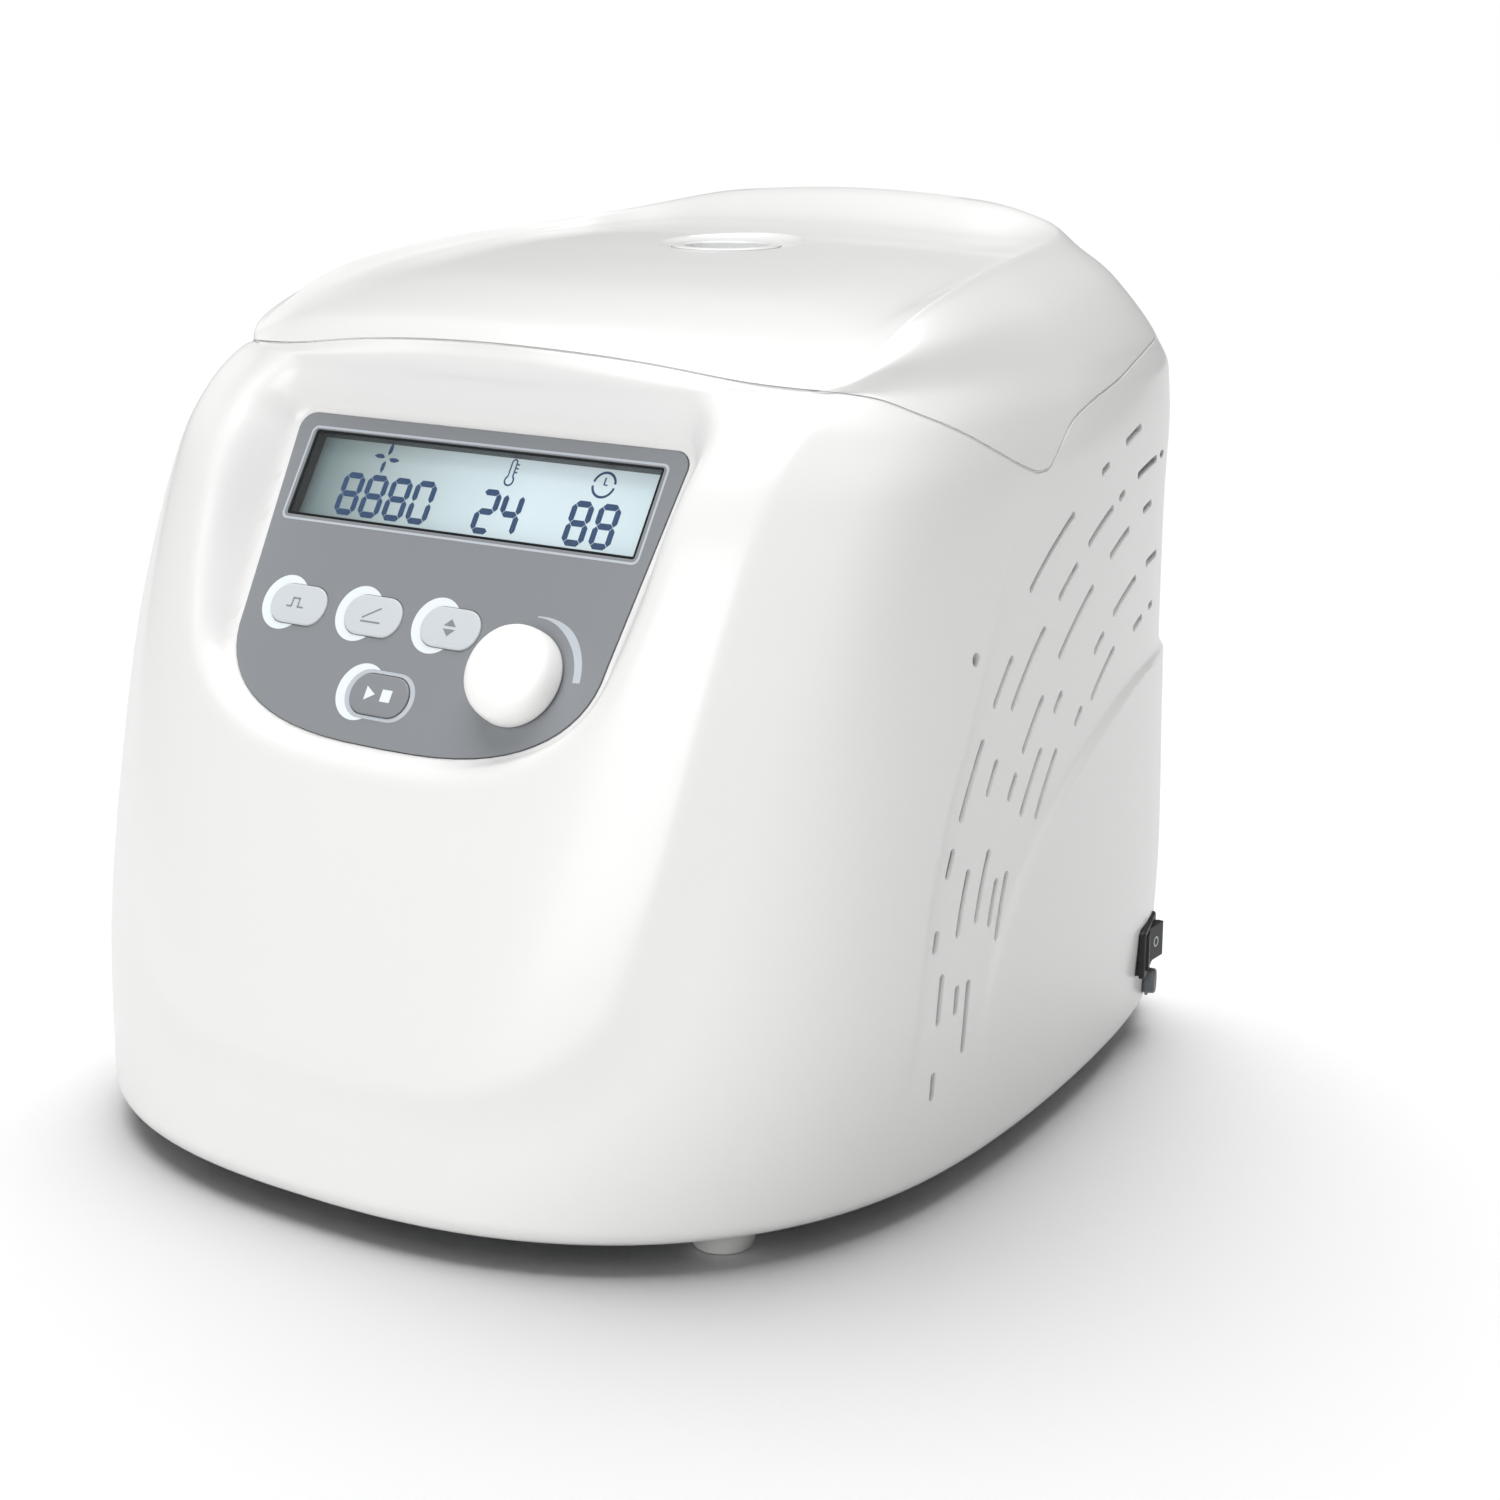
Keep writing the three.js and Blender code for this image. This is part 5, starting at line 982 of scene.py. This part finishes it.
digits = joined("display_figures", [on_facet([(x * 1.008 - 1.7, y + 0.9) for x, y in q], ON_CELL, ON_CELL + PRINT)
                                    for q in figures])
show(digits, "housing", "display", DIGIT)

knob = turned("knob_cap", [
    (0, 3.0), (11.4, 3.0), (12, 0.6), (13.6, 0.6), (14.05, 0.9), (14.2, 1.6), (14.15, 3.5), (13.95, 5.4), (13.6, 6.9),
    (13.1, 8.0), (12.3, 8.8), (11.0, 9.4), (9.0, 9.8), (6.2, 10.0), (3.1, 10.1), (0, 10.12)], 128, *KNOB, FACET)
show(knob, "knob", "white", KNOB_WHITE, "speed_knob", angle=60)


# ---- switch, fuse and the rocker's marks
def on_switch(outline, low, high):
    return prism("k", outline, low, high, SWITCH @ OUT_X)


bezel_rings = [(rect(-12.6, 12.6, -7.9, 7.9, 1.2), 0.0), (rect(-12.6, 12.6, -7.9, 7.9, 1.2), 1.2),
               (rect(-12.4, 12.4, -7.7, 7.7, 1.1), 1.6), (rect(-12.0, 12.0, -7.3, 7.3, 0.9), 1.8)]
bezel = stacked("switch_bezel", bezel_rings, SWITCH @ OUT_X)
cut(bezel, on_switch(rect(-10.5, 10.5, -6, 6, 0.4), -3, 4))
cup = on_switch(rect(-11.6, 11.6, -7.0, 7.0), -12, -0.01)
cut(cup, on_switch(rect(-10.5, 10.5, -6, 6), -10, 4))
show(joined("switch_bezel", [bezel, cup]), "housing", "black", BLACK, "switch_frame", angle=40)
fuse_rings = ((4.9, 0.9), (4.9, 1.6), (4.2, 1.9), (4.1, 3.6), (3.6, 4.1), (1.6, 4.15))
fuse = stacked("fuse_cap", [(circle(0, 0, r, 48), z) for r, z in fuse_rings], FUSE_AT)
cut(fuse, box("k", -2.8, 2.8, -0.45, 0.45, 3.3, 6, FUSE_AT))
fuse = joined("fuse_cap", [fuse, rod("k", 4.0, -14, 0.91, sides=40, matrix=FUSE_AT)])
show(fuse, "housing", "grey", GREY, "fuse_holder", angle=40)

rocker = bpy.data.objects["power_rocker"]
rocker_skin = BVHTree.FromPolygons([rocker.matrix_world @ v.co for v in rocker.data.vertices],
                                   [p.vertices[:] for p in rocker.data.polygons])


def rocker_mark(name, outer, inner):
    """A thin light mark on the rocker between two outlines in y and z, laid on its skin."""
    n = len(outer)
    points = []
    for lift in (-0.1, 0.06):
        for y, z in outer + inner:
            hit = rocker_skin.ray_cast(Vector((0.2, y * MM, z * MM)), Vector((-1, 0, 0)))[0]
            points.append((hit.x + lift * MM, y * MM, z * MM))
    faces = []
    for i in range(n):
        a, b, c, d = i, n + i, 2 * n + i, 3 * n + i
        p, q, r, t = (v - i + (i + 1) % n for v in (a, b, c, d))
        faces += [(a, p, q, b), (c, d, t, r), (a, c, r, p), (b, q, t, d)]
    show(outward(from_faces(name, points, faces)), "rocker", "grey", PRINT_GREY)


rocker_mark("rocker_ring", circle(117.8, 31.0, 1.75, 32), circle(117.8, 31.0, 1.2, 32))
rocker_mark("rocker_bar", rect(107.9, 108.5, 29.3, 32.7, 0.1, 2), rect(108.1, 108.3, 29.5, 32.5, 0.05, 2))

# ---- feet
for end, side_x, y in (("front", 104, -98), ("rear", 88, 112)):
    for side, x in (("left", -side_x), ("right", side_x)):
        name = f"foot_{end}_{side}"
        foot = turned(name + "_pad", [(0, 0), (7.6, 0), (8.3, 0.25), (8.6, 0.9), (10, 8.2), (0, 8.2)], 64, x, y)
        show(foot, "housing", "foot", FOOT_WHITE, name, angle=40)

# ---- what shows with the lid open
BOWL_FLOOR, BOWL_TOP = 127.6, 196.7
inside = [(17, 0), (66, 0), (70.6, 0.8), (74.6, 2.7), (77.6, 5.6), (79.4, 9.2), (80, 13)]
lip_ring = [(80, -2.0), (80.3, -0.8), (81.2, 0), (86.5, 0), (87, -0.5), (87, -1.3), (81.6, -1.4)]
outside = [(81.6, 13), (80.9, 8.8), (79.0, 4.8), (75.7, 1.5), (71.2, -0.8), (66, -1.6), (17, -1.6)]
bowl = lifted(BOWL_FLOOR, inside) + lifted(BOWL_TOP, lip_ring) + lifted(BOWL_FLOOR, outside)
bowl = turned("bowl_piece", bowl, 128)
show(bowl, "housing", "bright", BRIGHT, "rotor_bowl", angle=35)
gasket = turned("gasket_piece", lifted(197.0, [
    (80.5, 0), (86.5, 0), (86.5, 1.6), (86.1, 2.1), (84.6, 2.5), (83.5, 2.6), (82.4, 2.5), (80.9, 2.1),
    (80.5, 1.6)]), 128)
show(gasket, "housing", "rubber", RUBBER, "bowl_gasket", angle=40)

ROTOR_LOW, ROTOR_TALL = 133.0, 46.0
ROTOR_TOP = ROTOR_LOW + ROTOR_TALL
outside = [(41, 0), (60, 0.9), (67.5, 3.2), (72.4, 6.6), (74.6, 10), (75, 13), (75, 17), (74.6, 22), (72.6, 32)]
brim = [(69.9, -4), (69.5, -0.8), (68.7, 0), (64.2, 0), (63.2, -0.7), (60.6, -4.2)]


def rotor_part(*shares):
    """Points of the rotor whose heights are shares of its own."""
    return lifted(ROTOR_LOW, [(r, ROTOR_TALL * share) for r, share in shares])


hub = rotor_part((32.6, 0.43), (31, 0.42), (24, 0.42), (22.6, 0.44), (20.8, 0.77), (19.8, 0.8), (4.3, 0.8))
under = rotor_part((4.3, 0.5), (15.3, 0.02))
rotor = turned("rotor_piece", under + lifted(ROTOR_LOW, outside) + lifted(ROTOR_TOP, brim) + hub, 144)
PLACES = 24
bores = []
for i in range(PLACES):
    turn = Matrix.Translation((0, SPINDLE_Y, 0)) @ Matrix.Rotation(2 * pi * i / PLACES, 4, "Z")
    lean_out = Matrix.Translation((47.5, 0, 168)) @ Matrix.Rotation(radians(135), 4, "Y")
    bores.append(rod("k", 5.4, -13.5, 27, sides=28, matrix=turn @ lean_out))
cut(rotor, *bores)
show(rotor, "rotor", "rotor", ROTOR_GREY, "rotor", angle=35)
rotor_lid = turned("rotor_lid_piece", lifted(ROTOR_TOP + 0.3, [
    (4.3, 0), (63.4, 0), (64.2, 0.1), (65.3, 0.6), (65.5, 0.95), (65.2, 1.4), (64, 2.0), (62, 2.1), (60.4, 1.75),
    (46, 2.3), (32, 2.7), (14, 2.7), (4.3, 2.7)]), 144)
show(rotor_lid, "rotor", "bright", BRIGHT, "rotor_lid", angle=30)
seat = ROTOR_TOP + 0.3 + 3.0
nut = turned("rotor_nut_piece", lifted(seat, [
    (0, 0), (10.4, 0), (11, 0.6), (11, 8.6), (10.5, 9.5), (9.4, 10), (5.2, 10), (4.8, 9.6), (4.8, 8.8), (0, 8.8)]))
grips = [rod("k", 2.4, seat - 1, seat + 11, x, y, 32) for x, y in circle(0, SPINDLE_Y, 11.9, 6)]
cut(nut, *grips, rod("k", 4.4, seat - 1, seat + 7.6, 0, SPINDLE_Y, 32))
show(nut, "rotor", "black", BLACK, "rotor_nut", angle=40)
tube = turned("sight_tube_piece", [(15.1, 200.2), (16.7, 200.2), (16.7, SIGHT - 4.6), (15.1, SIGHT - 4.6)])
show(tube, "lid", "grey", LINER_WHITE, "sight_tube", angle=40)

# inside of the lid: a moulded pan with a round boss over the chamber
LOW, THICK = 199.9, 2.4


def raised_copy(o, name, up):
    copy = link(name, o.data.copy())
    copy.data.transform(Matrix.Translation((0, 0, up * MM)))
    return copy


room = grid_object("liner_room", skin_grid(WALL + 0.6, **COARSE))
tall = raised_copy(room, "tall", -THICK)
boss = rod("boss", 88, LOW, float(seam_z(np.array(HALF_D))) + 2.8, 0, SPINDLE_Y, 144)
kept_in(boss, raised_copy(room, "k", 0))
kept_in(room, above_seam(1.6), slab(-HALF_D, HALF_D, LOW, HEIGHT))
cut(room, raised_copy(room, "shifted", THICK))
kept_in(room, tall)
cut(room, slab(SPINDLE_Y + 90.4, HALF_D, 0, HEIGHT))
combine(room, "UNION", [boss])
cut(room, rod("k", 85.6, LOW + THICK, HEIGHT, 0, SPINDLE_Y, 144), rod("k", 17, 0, HEIGHT, 0, SPINDLE_Y, 64),
    slab(BOLT_Y - 2.4, BOLT_Y + 2.4, 0, HEIGHT, -7.3, 7.3),
    *leaf_rooms(HINGE_Y - 24.3, HINGE_Y + 3, HINGE_Z - 3, HEIGHT))
show(room, "lid", "white", LINER_WHITE, "lid_liner", angle=32)

# ---- CAD nodes shown as they are
for material, names in (
        (STEEL, "base_plate rear_plate motor_mount motor_stand hinge_base_left hinge_base_right hinge_leaf_left "
                "hinge_leaf_right lock_frame"),
        (BRIGHT, "encoder_shaft motor_shaft lid_striker hinge_pin_left hinge_pin_right lock_bolt"),
        (BLACK, "power_inlet motor lock_solenoid power_rocker"),
        (GREY, "encoder"),
        (RUBBER, "damper_1 damper_2 damper_3"),
        (BOARD, "control_board power_board drive_board")):
    for name in names.split():
        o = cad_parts[name]
        o.data.materials.clear()
        o.data.materials.append(material)


# ---- light, floor and camera
def camera():
    """The photo's camera, as fitted to it."""
    az, el = radians(34.73), radians(14.70)
    cam = bpy.data.cameras.new("camera")
    cam.lens, cam.sensor_width = 68.7, 36.0
    cam.clip_start, cam.clip_end = 0.05, 20
    right = Vector((cos(az), sin(az), 0))
    look = Vector((-sin(az) * cos(el), cos(az) * cos(el), -sin(el)))
    m = Matrix((right, right.cross(look), -look)).transposed().to_4x4()
    m.translation = Vector((0.5214, -0.6873, 0.3285))
    o = link("camera", cam)
    o.matrix_world = m
    scene.camera = o


def lamp(name, stand, aim, width, height, power):
    """An area light at stand that looks at aim; metres and watts."""
    light = bpy.data.lights.new(name, "AREA")
    light.shape, light.size, light.size_y, light.energy = "RECTANGLE", width, height, power
    o = link(name, light)
    o.location = stand
    o.rotation_euler = (Vector(aim) - Vector(stand)).to_track_quat("-Z", "Y").to_euler()
    o.visible_camera = False
    return o


def sunlight(name, strength, spread, tilt_x, tilt_y):
    """Even light from above; spread and tilts in degrees."""
    light = bpy.data.lights.new(name, "SUN")
    light.energy, light.angle = strength, radians(spread)
    o = link(name, light)
    o.rotation_euler = (radians(tilt_x), radians(tilt_y), 0)
    return o


camera()
# the camera sees a plain white surround, which lights the object only a little
SURROUND_LIGHT = 0.13
world = bpy.data.worlds.new("world")
scene.world = world
world.use_nodes = True
tree = world.node_tree
lit = tree.nodes["Background"]
lit.inputs["Color"].default_value = (1, 1, 1, 1)
lit.inputs["Strength"].default_value = SURROUND_LIGHT
plain = node(tree, "Background", {"Color": (1, 1, 1, 1), "Strength": 1.0})
ray = node(tree, "LightPath")
pick = node(tree, "MixShader")
wire(tree, (ray, "Is Camera Ray", pick, "Fac"), (lit, "Background", pick, 1), (plain, "Background", pick, 2),
     (pick, "Shader", tree.nodes["World Output"], "Surface"))
scene.view_settings.view_transform = "Standard"
floor_sun = sunlight("floor_sun", 3.3, 64, -20, -16)
overhead = sunlight("overhead", 3.05, 60, -6, 0)
key = lamp("key", (0.2, -2.15, 0.9), (0, -0.1, 0.15), 1.8, 1.2, 26)
fill = lamp("fill", (2.0, -0.5, 0.6), (0, 0, 0.15), 1.0, 1.0, 1)

# the floor has a sun of its own, so its shadow is set apart from the object's light
floor = from_faces("floor", [(-6, -6, 0), (6, -6, 0), (6, 6, 0), (-6, 6, 0)], [(0, 1, 2, 3)])
floor.data.materials.append(finish_of("floor_white", (250, 250, 250), 0.9, 60, 0.0, 0.0, vary=0.02))
for name, state, lights in (("only_floor", "INCLUDE", [floor_sun]), ("not_floor", "EXCLUDE", [overhead, key, fill])):
    group = bpy.data.collections.new(name)
    group.objects.link(floor)
    group.collection_objects[0].light_linking.link_state = state
    for o in lights:
        o.light_linking.receiver_collection = group
